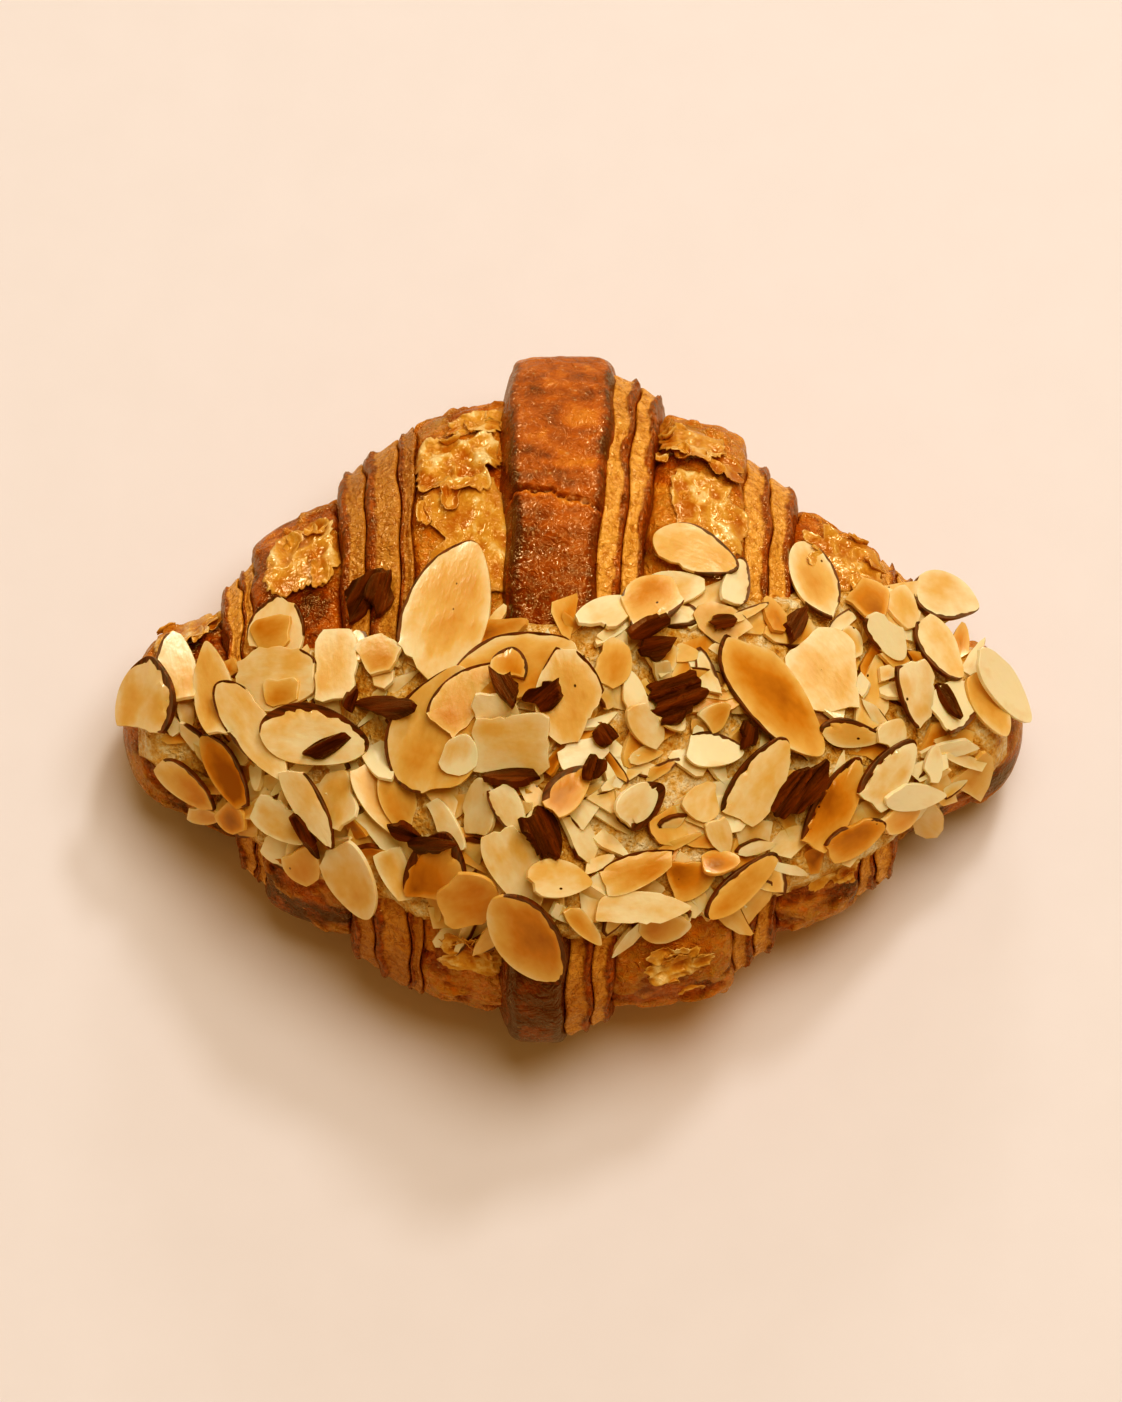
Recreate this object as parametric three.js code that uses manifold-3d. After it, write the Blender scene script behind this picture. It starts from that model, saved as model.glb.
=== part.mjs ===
// An almond croissant: a laminated roll of dough with a band of baked almond cream and flaked almonds.
// Units are millimetres. +X runs from tip to tip, -Y is the front, +Z is up, and the roll rests on z = 0.

import * as THREE from "three";
import { ParametricGeometry } from "three/addons/geometries/ParametricGeometry.js";
import { mergeVertices } from "three/addons/utils/BufferGeometryUtils.js";
import Module from "manifold-3d";

// The roll
const LENGTH = 151.5;
const BELLY_WIDTH = 108; // under the tongue, the last strip of dough that straps the middle
const BELLY_HEIGHT = 53;
const TIP_HEIGHT = 20;
const BELL_LENGTH = 158; // the roll tapers as a cosine of this half wave
const CAP_LENGTH = 10; // rounded end of each tip
const AXIS_SHARE = 0.45; // height of the widest line, as a share of the height
const BASE_SQUASH = 3; // how far the round underside is pressed flat on the baking tray
const TIP_LIFT = 7; // rise of the underside at the tips
const STEP_WALL = 0.6; // width of the steep face where one wrap ends on the next
const STEP_SHARE = 0.45; // how level each wrap lies: 0 follows the taper, 1 is a flat terrace
const LUMP = 0.5; // height of the broad unevenness of the dough

// Wraps of dough from tip to tip: where each starts along the top, how far that edge leans to +X at the
// front, how far the wrap stands proud of the taper, and how far it swells between its edges.
const WRAPS = [
  { from: -LENGTH / 2, lean: 0, proud: 0, swell: 0.6, rows: 7 },
  { from: -57.3, lean: 1.6, proud: 0, swell: 0.4, rows: 2 },
  { from: -54.5, lean: 1.6, proud: 0, swell: 0.4, rows: 2 },
  { from: -51.8, lean: 1.5, proud: -0.8, swell: 1.1, rows: 4 },
  { from: -37.7, lean: 1.4, proud: 0.2, swell: 0.5, rows: 2 },
  { from: -33.7, lean: 1.3, proud: 0.2, swell: 0.6, rows: 2 },
  { from: -28.3, lean: 1.2, proud: 0.4, swell: 0.4, rows: 2 },
  { from: -25.7, lean: 1, proud: 0, swell: 1.3, rows: 4 },
  { from: -10, lean: -0.2, proud: 4.2, swell: 1, rows: 4 },
  { from: 2.9, lean: -4.4, proud: 2.4, swell: 0.4, rows: 2 },
  { from: 6.9, lean: -4.2, proud: 1.2, swell: 0.4, rows: 2 },
  { from: 10.7, lean: -4.3, proud: 0, swell: 1.3, rows: 4 },
  { from: 27.7, lean: -1.5, proud: -0.6, swell: 0.5, rows: 2 },
  { from: 31.5, lean: -1.8, proud: -1, swell: 0.5, rows: 2 },
  { from: 35.3, lean: -2, proud: -1.8, swell: 1, rows: 4 },
  { from: 49.7, lean: -2.2, proud: -1.4, swell: 0.4, rows: 2 },
  { from: 52.5, lean: -2.2, proud: -1, swell: 0.4, rows: 2 },
  { from: 55.3, lean: -2, proud: -0.4, swell: 0.6, rows: 7 },
];
const ROUND_SIDES = 38;

// The sloping plane in which the topping is laid out: x across, and up the slope from front to back.
// It faces the front, tipped from the level by this angle, and its zero is on the roll's axis.
const SLOPE = THREE.MathUtils.degToRad(20);
const SLOPE_ZERO_Z = 27;
const CELL = 0.75; // spacing of the height map over that plane
const MAP_HALF_X = 80;
const MAP_HALF_UP = 62;

// The almond cream, baked on as a thin crust
const CREAM_THICK = 2.4;
const CREAM_EDGE = 0.9;
const CREAM_REACH = 73; // half its length
const CREAM_BACK = { at: 13, rise: 0.12, end: 80 }; // its back edge, up the slope
const CREAM_FRONT = { at: -40, end: 84, round: 1 }; // its front edge
const CREAM_SOFTENING = 0.6; // share of each step of dough that still shows through it
const CREAM_ROWS = 44;
const CREAM_BRIDGE = 2; // reach of the cream across a step of the dough, each way
const CREAM_FACE_COLUMNS = 14;
const CREAM_ROOT_COLUMNS = 4;
const CREAM_ROOT = 3; // depth below the dough's surface before the roll is cut away from it
const GAP = 0.45; // clear radial gap between the dough and the topping

// Flaked almonds
const FLAKE_THICK = 1.2;
const FLAKE_SIDES = 8;
const SMALL_FLAKE = 10; // shorter flakes than this have fewer sides
const SMALL_FLAKE_SIDES = 6;
const FLAKE_SINK = 0.75; // how far a flake is pressed into what it lies on
const FLAKE_TAPER = 0.16; // how much narrower the pointed end is
const TILT_JITTER = 0.1;
const STEEPEST = 1.1; // slope of the steepest flake
const SEED = 20261;
const SMALLEST_STEP = 0.12; // finer steps than this are smoothed away where flakes meet

// The flakes that show, from the lowest to the one on top: place across and up the slope, heading in degrees
// from +X, length, width, the share of the length that has snapped off, and any further straight breaks, each
// the way that it faces in degrees from +X and its distance from the middle.
const LANDMARK_FLAKES = [
  [-32.3, -16.5, -62, 14, 5.5, 0.1],
  [-28.7, -16.6, -75, 12, 6, 0.15],
  [-31.7, -10.7, -60, 8, 4.5, 0.2],
  [-30.8, 2.9, 70, 5, 3.6, 0.1],
  [-31.4, 6.5, 35, 9, 7, 0.15, [[60, 3], [-30, 2.8]]],
  [-54.9, -9.6, -45, 5.5, 2.8, 0.1],
  [-61, -19.5, -10, 6.5, 3, 0.1],
  [-56.1, -20, -50, 7, 4.5, 0.2],
  [-44.2, -27.3, -62, 8.5, 6, 0.2, [[-60, 3.4]]],
  [-20.5, -20.8, -55, 10.5, 3.6, 0.1],
  [-14.8, -18.4, 85, 10.5, 5.2, 0.1],
  [-10.4, -18.2, -62, 10, 4.8, 0.1],
  [1.6, -9, 20, 10.5, 6, 0.1, [[100, 2], [0, 4.2]]],
  [9.9, -1.5, 100, 11.5, 4, 0.15],
  [6, 5.3, 70, 9.5, 6.5, 0.1, [[160, 2.4], [60, 3.6]]],
  [11.5, -4.8, -60, 9, 5.2, 0.1],
  [15.7, -3.3, -50, 6.5, 4.2, 0.2],
  [22.7, -3.3, 40, 6.5, 4.2, 0.2],
  [22.7, -9, -5, 10, 5.6, 0.05],
  [20.8, -17.3, 60, 7, 6, 0.1, [[0, 2.4], [120, 2.6]]],
  [23.6, -22.3, -70, 7.5, 4, 0.2],
  [18.8, -29.4, 20, 9.5, 7, 0.15, [[90, 2.6]]],
  [23.6, -27.5, 5, 7, 3.8, 0.1],
  [14.6, -37.2, 0, 9, 5.2, 0.05],
  [1.2, -37, -48, 9, 3.2, 0.1],
  [45.4, -6, -8, 10.5, 4.6, 0],
  [52, -6.6, 60, 6.5, 5, 0.2],
  [59.3, -11.5, 85, 7, 3, 0.1],
  [45, 8.5, -50, 6.5, 5.2, 0.2],
  [54.1, 14.7, -60, 9.5, 4.8, 0.2],
  [53.5, -20.2, 25, 7.5, 4.2, 0.1],
  [10.4, -17.6, 45, 9.5, 6.5, 0.1],
  [-1, -15.5, 48, 10.5, 6, 0.1],
  [-65.8, 4, 100, 13, 7, 0.1, [[70, 5.4]]],
  [-59, 0.3, 101, 17, 6.8, 0.1],
  [-70.5, -0.7, 82, 14.5, 10, 0.15],
  [-48.7, 10.8, 80, 12, 9.4, 0.2],
  [-49.2, 10.5, 30, 8, 6.2, 0.1, [[100, 2.6], [0, 2.8]]],
  [-48.8, 3.1, 4, 16, 11.5, 0.1, [[0, 6.6], [90, 4.7], [123, 5.4]]],
  [-47.5, 0.8, 0, 7, 5.5, 0, [[0, 2.7], [90, 2], [180, 2.8], [-75, 2.2]]],
  [-38.7, 4.7, 88, 15, 9.5, 0, [[90, 5.9], [270, 5.8], [180, 3.4], [0, 3.3]]],
  [-52.5, -5.7, -55, 19.8, 7.3, 0],
  [-63.9, -14.6, -39, 12.6, 4.8, 0.05],
  [-56.9, -12.8, -61, 15, 5.2, 0],
  [-47.9, -20.4, -32, 13, 6, 0.15, [[60, 2.4]]],
  [-38.4, -17.4, 80, 11.5, 7.4, 0.1, [[-90, 5], [20, 3.2]]],
  [-43, -17.9, -59, 16, 5, 0],
  [-42.1, -6.6, -10, 18.2, 10, 0],
  [-36.3, -29.5, -62, 15, 7.4, 0.12],
  [-29.1, -28.3, -66, 13, 5, 0.25],
  [-22.1, -28.7, 80, 14, 10, 0.2],
  [-17.1, -32.8, 20, 10.5, 9.5, 0.05, [[-80, 4.2]]],
  [-9.3, -27, -66, 16.5, 8.5, 0.15],
  [-7.1, -39.3, -52, 17.5, 10, 0],
  [-2.8, -29.8, -5, 11, 6.2, 0.05],
  [10.7, -34.7, 3, 16.5, 6, 0.06, [[-90, 2.2]]],
  [10.1, -28.4, 22, 14.5, 5.8, 0.1],
  [27.4, -30.7, 42, 15.5, 5, 0],
  [-20.5, 13.5, 72, 25, 14, 0],
  [-8.6, 4.8, 14, 22.5, 10.5, 0],
  [-21.9, -5.7, 68, 22, 15.5, 0],
  [-17.5, -0.5, 45, 15.5, 8.5, 0.1, [[-50, 3.2]]],
  [-10.2, 4.7, 80, 6, 6, 0.2],
  [-0.5, -0.2, 100, 17.5, 11.5, 0.08, [[-30, 4.4]]],
  [-13, -2, -20, 9, 7, 0.1, [[90, 2.6], [200, 3.2]]],
  [-18.5, -9.6, 70, 7.5, 6.5, 0.1, [[150, 2.6]]],
  [-9.9, -7.7, 3, 17, 14, 0, [[2, 6.2], [92, 4.6], [182, 6.2], [268, 4.8]]],
  [4.9, 12.7, 25, 11, 5.6, 0.1, [[-90, 1.8]]],
  [16.2, 17.2, 10, 12, 6, 0.2],
  [12.9, 15.2, 25, 12, 8.2, 0.1, [[25, 4.6]]],
  [26.4, 18, 78, 9, 4.6, 0.15],
  [20.1, 23.5, -20, 15, 7.6, 0],
  [40.2, 18.6, -66, 13.8, 7.4, 0],
  [49.2, 15.7, -45, 8.5, 7, 0.15, [[60, 2.6], [-20, 3]]],
  [41.2, 3.6, -50, 16.5, 13.5, 0, [[10, 5.3], [-97, 6.4], [135, 6.3]]],
  [32.3, -0.2, -52, 25.3, 9.8, 0],
  [30, -14.2, 58, 17, 8, 0.1],
  [42.5, -18.3, 62, 18.5, 6.8, 0.1],
  [51.6, -13, 55, 14, 6.8, 0.1],
  [45.8, -23.4, 30, 12, 5.2, 0.1],
  [55.9, -16.5, 5, 10.5, 4.5, 0],
  [51.5, 10.3, -58, 10, 5.6, 0.1, [[60, 2.2]]],
  [56.4, 0.7, -78, 13, 6.4, 0.12, [[0, 2.6]]],
  [62.7, -1.8, 40, 10, 8, 0.15],
  [60.5, 7.7, -58, 12.5, 6, 0.05],
  [61.9, 16.3, -18, 12, 7.8, 0],
  [68.7, -1.2, -62, 13, 5.5, 0.1],
  [71.2, 1.5, -55, 15, 5.5, 0],
];

// Colours of the solids
const CRUST_COLOUR = 0xb8651c;
const TOPPING_COLOUR = 0xe6b164;

const wasm = await Module();
wasm.setup();

const { cos, sin, abs, min, max, sqrt, PI } = Math;
const mix = (a, b, share) => a + (b - a) * share;

// Seeded draws, the same on every run
function draws(seed) {
  let state = seed >>> 0;
  return (low = 0, high = 1) => {
    state = (Math.imul(state, 1664525) + 1013904223) >>> 0;
    return low + ((high - low) * (state >>> 8)) / 2 ** 24;
  };
}

// Shape of the roll

const edgeOf = (wrap, turn) =>
  wrap < WRAPS.length ? WRAPS[wrap].from + WRAPS[wrap].lean * sin(turn) : LENGTH / 2;

// How full the rounded end of a tip is: 1 along the roll, down to 0 at the very end
function capAt(x) {
  const past = max(0, abs(x) - (LENGTH / 2 - CAP_LENGTH)) / CAP_LENGTH;
  return sqrt(max(0, 1 - past * past));
}

// Broad unevenness of the dough, as a few crossing waves along the roll and round it
function lump(x, turn) {
  const waves = sin(x / 7.1 + 2 * turn) + sin(x / 4.3 - 3 * turn + 1) + sin(x / 11 + 5 * turn + 2);
  return (LUMP * capAt(x) * waves) / 3;
}

// A point of a cross-section that has the taper of taperX, with its end cap at x. The turn goes from the top
// towards the front, and grow is added all round.
function sectionPoint(x, taperX, turn, grow, target) {
  const taper = THREE.MathUtils.clamp(taperX, CAP_LENGTH - LENGTH / 2, LENGTH / 2 - CAP_LENGTH);
  const bell = cos((PI * taper) / BELL_LENGTH);
  const cap = capAt(x);
  const half = (BELLY_WIDTH / 2) * bell + grow;
  const top = TIP_HEIGHT + (BELLY_HEIGHT - TIP_HEIGHT) * bell + grow;
  const axis = AXIS_SHARE * top;
  const under = TIP_LIFT * (taperX / (LENGTH / 2)) ** 4 - BASE_SQUASH - grow;
  const reach = cos(turn) > 0 ? top - axis : axis - under;
  return target.set(x, -half * cap * sin(turn), max(0, axis + reach * cap * cos(turn)));
}

// A point of the dough, in one wrap, at a share of the way between its edges. softening levels the steps.
function doughPoint(wrap, share, turn, grow, softening, target) {
  const { proud, swell } = WRAPS[wrap];
  const start = edgeOf(wrap, turn) + (wrap > 0 ? STEP_WALL / 2 : 0);
  const end = edgeOf(wrap + 1, turn) - (wrap < WRAPS.length - 1 ? STEP_WALL / 2 : 0);
  const x = mix(start, end, share);
  const taperX = mix(x, (start + end) / 2, STEP_SHARE * softening);
  const rise = (proud + swell * (1 - (2 * share - 1) ** 4)) * softening;
  return sectionPoint(x, taperX, turn, rise + lump(x, turn) + grow, target);
}

// The wrap at x and the share of the way across it
function wrapAt(x, turn) {
  let wrap = 0;
  while (wrap < WRAPS.length - 1 && edgeOf(wrap + 1, turn) <= x) wrap += 1;
  const start = edgeOf(wrap, turn);
  return [wrap, (x - start) / (edgeOf(wrap + 1, turn) - start)];
}

// Each wrap's rows of the roll's grid, from tip to tip
const ROLL_ROWS = WRAPS.flatMap(({ rows }, wrap) =>
  Array.from({ length: rows }, (_, row) => ({ wrap, share: row / (rows - 1) })),
);

function rollGeometry(grow) {
  const shape = (u, v, target) => {
    const { wrap, share } = ROLL_ROWS[Math.round(v * (ROLL_ROWS.length - 1))];
    return doughPoint(wrap, share, 2 * PI * u, grow, 1, target);
  };
  return new ParametricGeometry(shape, ROUND_SIDES, ROLL_ROWS.length - 1);
}

// Layout of the topping on its sloping plane

const SLOPE_ACROSS = new THREE.Vector3(1, 0, 0);
const SLOPE_UP = new THREE.Vector3(0, cos(SLOPE), sin(SLOPE));
const SLOPE_OUT = new THREE.Vector3(0, -sin(SLOPE), cos(SLOPE));
const SLOPE_ZERO = new THREE.Vector3(0, 0, SLOPE_ZERO_Z);

const fromSlope = (across, up, out, target) =>
  target
    .copy(SLOPE_ZERO)
    .addScaledVector(SLOPE_ACROSS, across)
    .addScaledVector(SLOPE_UP, up)
    .addScaledVector(SLOPE_OUT, out);

// Height of the dough over a place on the plane, found by halving the turn between its back and front edges.
// grow and softening are as in doughPoint.
function doughHeight(across, up, grow, softening) {
  const point = new THREE.Vector3();
  const at = (turn) => {
    const x = THREE.MathUtils.clamp(across, -LENGTH / 2, LENGTH / 2);
    const [wrap, share] = wrapAt(x, turn);
    return doughPoint(wrap, share, turn, grow, softening, point).sub(SLOPE_ZERO);
  };
  let back = -PI / 2 + SLOPE;
  let front = PI / 2 + SLOPE;
  for (let step = 0; step < 24; step += 1) {
    const middle = (back + front) / 2;
    if (at(middle).dot(SLOPE_UP) > up) back = middle;
    else front = middle;
  }
  return at((back + front) / 2).dot(SLOPE_OUT);
}

const creamBack = (x) =>
  (CREAM_BACK.at + CREAM_BACK.rise * x) * (1 - (abs(x) / CREAM_BACK.end) ** 6);
const creamFront = (x) =>
  CREAM_FRONT.at * max(0, 1 - (x / CREAM_FRONT.end) ** 2) ** CREAM_FRONT.round;

// Share of the cream's full thickness at a share of the way from its front edge to its back edge
const creamFullness = (share) => sqrt(max(0, 1 - (2 * share - 1) ** 6));

function creamHeight(across, up) {
  const share = (up - creamFront(across)) / (creamBack(across) - creamFront(across));
  if (share < 0 || share > 1 || abs(across) > CREAM_REACH) return doughHeight(across, up, 0, 1);
  const places = [across - CREAM_BRIDGE, across, across + CREAM_BRIDGE];
  const thin = CREAM_EDGE + max(...places.map((x) => doughHeight(x, up, 0, 1)));
  const thick = doughHeight(across, up, CREAM_THICK, CREAM_SOFTENING);
  return max(thin, mix(thin, thick, creamFullness(share)));
}

// The height of what lies on the plane so far, on a square grid
class HeightMap {
  constructor(height) {
    this.columns = Math.round((2 * MAP_HALF_X) / CELL) + 1;
    this.rows = Math.round((2 * MAP_HALF_UP) / CELL) + 1;
    this.values = Array.from({ length: this.columns * this.rows }, (_, i) =>
      height(this.acrossOf(i % this.columns), this.upOf(Math.floor(i / this.columns))),
    );
  }

  acrossOf(column) {
    return column * CELL - MAP_HALF_X;
  }

  upOf(row) {
    return row * CELL - MAP_HALF_UP;
  }

  at(across, up) {
    const column = THREE.MathUtils.clamp((across + MAP_HALF_X) / CELL, 0, this.columns - 1.001);
    const row = THREE.MathUtils.clamp((up + MAP_HALF_UP) / CELL, 0, this.rows - 1.001);
    const i = Math.floor(row) * this.columns + Math.floor(column);
    const lower = mix(this.values[i], this.values[i + 1], column % 1);
    const upper = mix(this.values[i + this.columns], this.values[i + this.columns + 1], column % 1);
    return mix(lower, upper, row % 1);
  }

  raise(flake, thick) {
    const { across, up, heading, length, width, breaks, out, lengthSlope, widthSlope } = flake;
    for (let i = 0; i < this.values.length; i += 1) {
      const dx = this.acrossOf(i % this.columns) - across;
      const dy = this.upOf(Math.floor(i / this.columns)) - up;
      const along = dx * cos(heading) + dy * sin(heading);
      const aside = dy * cos(heading) - dx * sin(heading);
      if (((2 * along) / length) ** 2 + ((2 * aside) / width) ** 2 > 1) continue;
      if (breaks.some((line) => pastBreak(along, aside, line) > 0)) continue;
      const face = out + lengthSlope * along + widthSlope * aside + thick;
      this.values[i] = max(this.values[i], face);
    }
  }
}

// Lets a flake down on what lies under it: the plane that fits the heights there best, raised until no point
// of it is pressed in by more than FLAKE_SINK.
function restFlake(map, flake, tilt) {
  const { across, up, heading, length, width } = flake;
  const places = [];
  for (const a of [-0.8, -0.4, 0, 0.4, 0.8]) {
    for (const b of [-0.8, -0.4, 0, 0.4, 0.8]) {
      if (a * a + b * b > 0.9) continue;
      const along = (a * length) / 2;
      const aside = (b * width) / 2;
      const x = across + along * cos(heading) - aside * sin(heading);
      const y = up + along * sin(heading) + aside * cos(heading);
      places.push({ along, aside, height: map.at(x, y) });
    }
  }
  const total = (value) => places.reduce((sum, place) => sum + value(place), 0);
  const mean = total((p) => p.height) / places.length;
  const slope = (arm) => total((p) => arm(p) * p.height) / total((p) => arm(p) ** 2);
  const limited = (value) => THREE.MathUtils.clamp(value, -STEEPEST, STEEPEST);
  flake.lengthSlope = limited(slope((p) => p.along) + tilt[0]);
  flake.widthSlope = limited(slope((p) => p.aside) + tilt[1]);
  const plane = (p) => mean + flake.lengthSlope * p.along + flake.widthSlope * p.aside;
  flake.out = mean + max(...places.map((p) => p.height - plane(p))) - FLAKE_SINK;
  map.raise(flake, FLAKE_THICK);
  return flake;
}

// The flakes of the list, each with its breaks as directions in its own plane and distances from its middle
const landmarkFlakes = () =>
  LANDMARK_FLAKES.map(([across, up, degrees, length, width, snapped, cuts = []]) => {
    const snap = [PI, length * (0.5 - snapped)];
    const breaks = cuts.map(([way, reach]) => [THREE.MathUtils.degToRad(way - degrees), reach]);
    const heading = THREE.MathUtils.degToRad(degrees);
    return { across, up, heading, length, width, breaks: [snap, ...breaks] };
  });

// How far a point of a flake's plane is past a straight break
const pastBreak = (x, y, [way, reach]) => x * cos(way) + y * sin(way) - reach;

// What is left of an outline when all that is past a straight break has gone
function brokenOff(points, line) {
  const past = points.map(({ x, y }) => pastBreak(x, y, line));
  return points.flatMap((point, i) => {
    const next = (i + 1) % points.length;
    const kept = past[i] <= 0 ? [point] : [];
    if (past[i] * past[next] >= 0) return kept;
    return [...kept, point.clone().lerp(points[next], past[i] / (past[i] - past[next]))];
  });
}

// Outline of a sliced almond, pointed at one end, without what has broken off
function flakeShape({ length, width, breaks }) {
  const sides = length < SMALL_FLAKE ? SMALL_FLAKE_SIDES : FLAKE_SIDES;
  const points = Array.from({ length: sides }, (_, i) => {
    const turn = (2 * PI * (i + 0.5)) / sides;
    const half = (width / 2) * (1 - FLAKE_TAPER * cos(turn));
    return new THREE.Vector2((length / 2) * cos(turn), half * sin(turn));
  });
  return new THREE.Shape(breaks.reduce(brokenOff, points));
}

function flakeGeometry(flake) {
  const { across, up, heading, out, lengthSlope, widthSlope } = flake;
  const geometry = new THREE.ExtrudeGeometry(flakeShape(flake), {
    depth: FLAKE_THICK,
    bevelEnabled: false,
  });
  const long = fromSlope(cos(heading), sin(heading), lengthSlope, new THREE.Vector3()).sub(SLOPE_ZERO);
  const wide = fromSlope(-sin(heading), cos(heading), widthSlope, new THREE.Vector3()).sub(SLOPE_ZERO);
  const normal = new THREE.Vector3().crossVectors(long, wide).normalize();
  const place = new THREE.Matrix4().makeBasis(long, wide, normal);
  return geometry.applyMatrix4(place.setPosition(fromSlope(across, up, out, new THREE.Vector3())));
}

// The cream as a lens: its face over the dough, and a root inside the dough that the roll is then cut from.
// Both ends close to a point in the root.
function creamGeometry() {
  const columns = CREAM_FACE_COLUMNS + CREAM_ROOT_COLUMNS + 2;
  const shape = (u, v, target) => {
    const column = Math.round((1 - u) * columns) % columns;
    const across = CREAM_REACH * (2 * v - 1);
    const place = (share) => mix(creamFront(across), creamBack(across), share);
    const root = (up) => fromSlope(across, up, doughHeight(across, up, 0, 1) - CREAM_ROOT, target);
    if (v <= 0 || v >= 1) return root(place(0.5));
    if (column > CREAM_FACE_COLUMNS) return root(place((columns - 1 - column) / CREAM_ROOT_COLUMNS));
    const up = place(column / CREAM_FACE_COLUMNS);
    return fromSlope(across, up, creamHeight(across, up), target);
  };
  return new ParametricGeometry(shape, columns, CREAM_ROWS);
}

// A closed geometry as a solid that can be joined and cut
function solidOf(geometry) {
  const bare = geometry.clone();
  bare.deleteAttribute("normal");
  bare.deleteAttribute("uv");
  const merged = mergeVertices(bare, 1e-4);
  const triangles = [];
  for (let i = 0; i < merged.index.count; i += 3) {
    const [a, b, c] = [0, 1, 2].map((corner) => merged.index.getX(i + corner));
    if (a !== b && b !== c && c !== a) triangles.push(a, b, c);
  }
  const mesh = new wasm.Mesh({
    numProp: 3,
    vertProperties: merged.attributes.position.array,
    triVerts: new Uint32Array(triangles),
  });
  mesh.merge();
  const solid = new wasm.Manifold(mesh);
  if (solid.volume() <= 0) throw new Error("a solid's faces point inwards");
  return solid;
}

function geometryOf(solid) {
  const { vertProperties, triVerts } = solid.getMesh();
  return new THREE.BufferGeometry()
    .setAttribute("position", new THREE.BufferAttribute(vertProperties, 3))
    .setIndex(new THREE.BufferAttribute(triVerts, 1));
}

// The largest of the bodies in a solid: a scrap that touches nothing is left out
function mainBody(solid) {
  const bodies = solid.decompose();
  return bodies.reduce((best, body) => (body.volume() > best.volume() ? body : best));
}

function toppingSolid() {
  const map = new HeightMap(creamHeight);
  const draw = draws(SEED);
  const flakes = landmarkFlakes().map((flake) =>
    restFlake(map, flake, [draw(-TILT_JITTER, TILT_JITTER), draw(-TILT_JITTER, TILT_JITTER)]),
  );
  const pieces = [creamGeometry(), ...flakes.map(flakeGeometry)].map(solidOf);
  const joined = wasm.Manifold.union(pieces).subtract(solidOf(rollGeometry(GAP)));
  return mainBody(joined.simplify(SMALLEST_STEP));
}

function mesh(name, geometry, color, roughness) {
  const made = new THREE.Mesh(geometry, new THREE.MeshStandardMaterial({ color, roughness, metalness: 0 }));
  made.name = name;
  return made;
}

const croissant = new THREE.Group();
croissant.add(mesh("croissant", geometryOf(solidOf(rollGeometry(0))), CRUST_COLOUR, 0.45));
croissant.add(mesh("almond_topping", geometryOf(toppingSolid()), TOPPING_COLOUR, 0.6));

export default croissant;
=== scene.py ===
"""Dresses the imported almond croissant: laminated crust, almond cream, flaked almonds and leaves of pastry."""

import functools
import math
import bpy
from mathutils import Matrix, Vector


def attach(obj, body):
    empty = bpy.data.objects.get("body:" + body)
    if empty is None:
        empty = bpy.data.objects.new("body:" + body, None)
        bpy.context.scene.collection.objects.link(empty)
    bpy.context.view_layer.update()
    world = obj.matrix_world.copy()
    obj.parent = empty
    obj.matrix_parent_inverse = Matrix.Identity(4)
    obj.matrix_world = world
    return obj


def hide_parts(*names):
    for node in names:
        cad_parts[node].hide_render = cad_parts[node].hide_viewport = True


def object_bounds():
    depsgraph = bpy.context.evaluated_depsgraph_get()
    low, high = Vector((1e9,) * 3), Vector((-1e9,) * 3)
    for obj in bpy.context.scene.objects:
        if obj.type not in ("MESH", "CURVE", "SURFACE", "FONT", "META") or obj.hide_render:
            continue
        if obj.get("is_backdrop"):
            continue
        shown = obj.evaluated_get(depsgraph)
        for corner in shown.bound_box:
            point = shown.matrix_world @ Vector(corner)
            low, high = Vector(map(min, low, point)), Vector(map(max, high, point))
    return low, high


bl_info = {
    "name": "Almond croissant",
    "version": (1, 0, 0),
    "blender": (4, 5, 0),
    "location": "3D View > Sidebar > Croissant",
    "description": "Builds the crust, almond cream, flaked almonds, leaves of pastry and the stage",
    "category": "Add Mesh",
}

import bpy
import numpy as np
from mathutils import Vector

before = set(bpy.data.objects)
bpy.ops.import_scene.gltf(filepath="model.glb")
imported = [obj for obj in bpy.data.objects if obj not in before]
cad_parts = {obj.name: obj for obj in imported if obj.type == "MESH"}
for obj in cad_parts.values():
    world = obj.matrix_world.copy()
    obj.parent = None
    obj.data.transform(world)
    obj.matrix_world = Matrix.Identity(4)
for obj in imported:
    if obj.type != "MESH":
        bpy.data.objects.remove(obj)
CAD_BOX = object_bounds()

MM = 0.001
# A distance from an edge that is past any other, in millimetres
FAR = 100
# Whole numbers in the draws and the noise are kept to 32 bits
WORD = 0xFFFFFFFF

# Height of the widest line of the roll, as a share of its height, and how level each wrap lies: at 0 it
# follows the taper, at 1 it is a flat terrace
AXIS_SHARE = 0.45
STEP_SHARE = 0.45
# A line inside the roll, back and up, from which its reach is measured
ROLL_AXIS = (0, 22)
# Halvings that find the turn over a place
HALVINGS = 22

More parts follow.
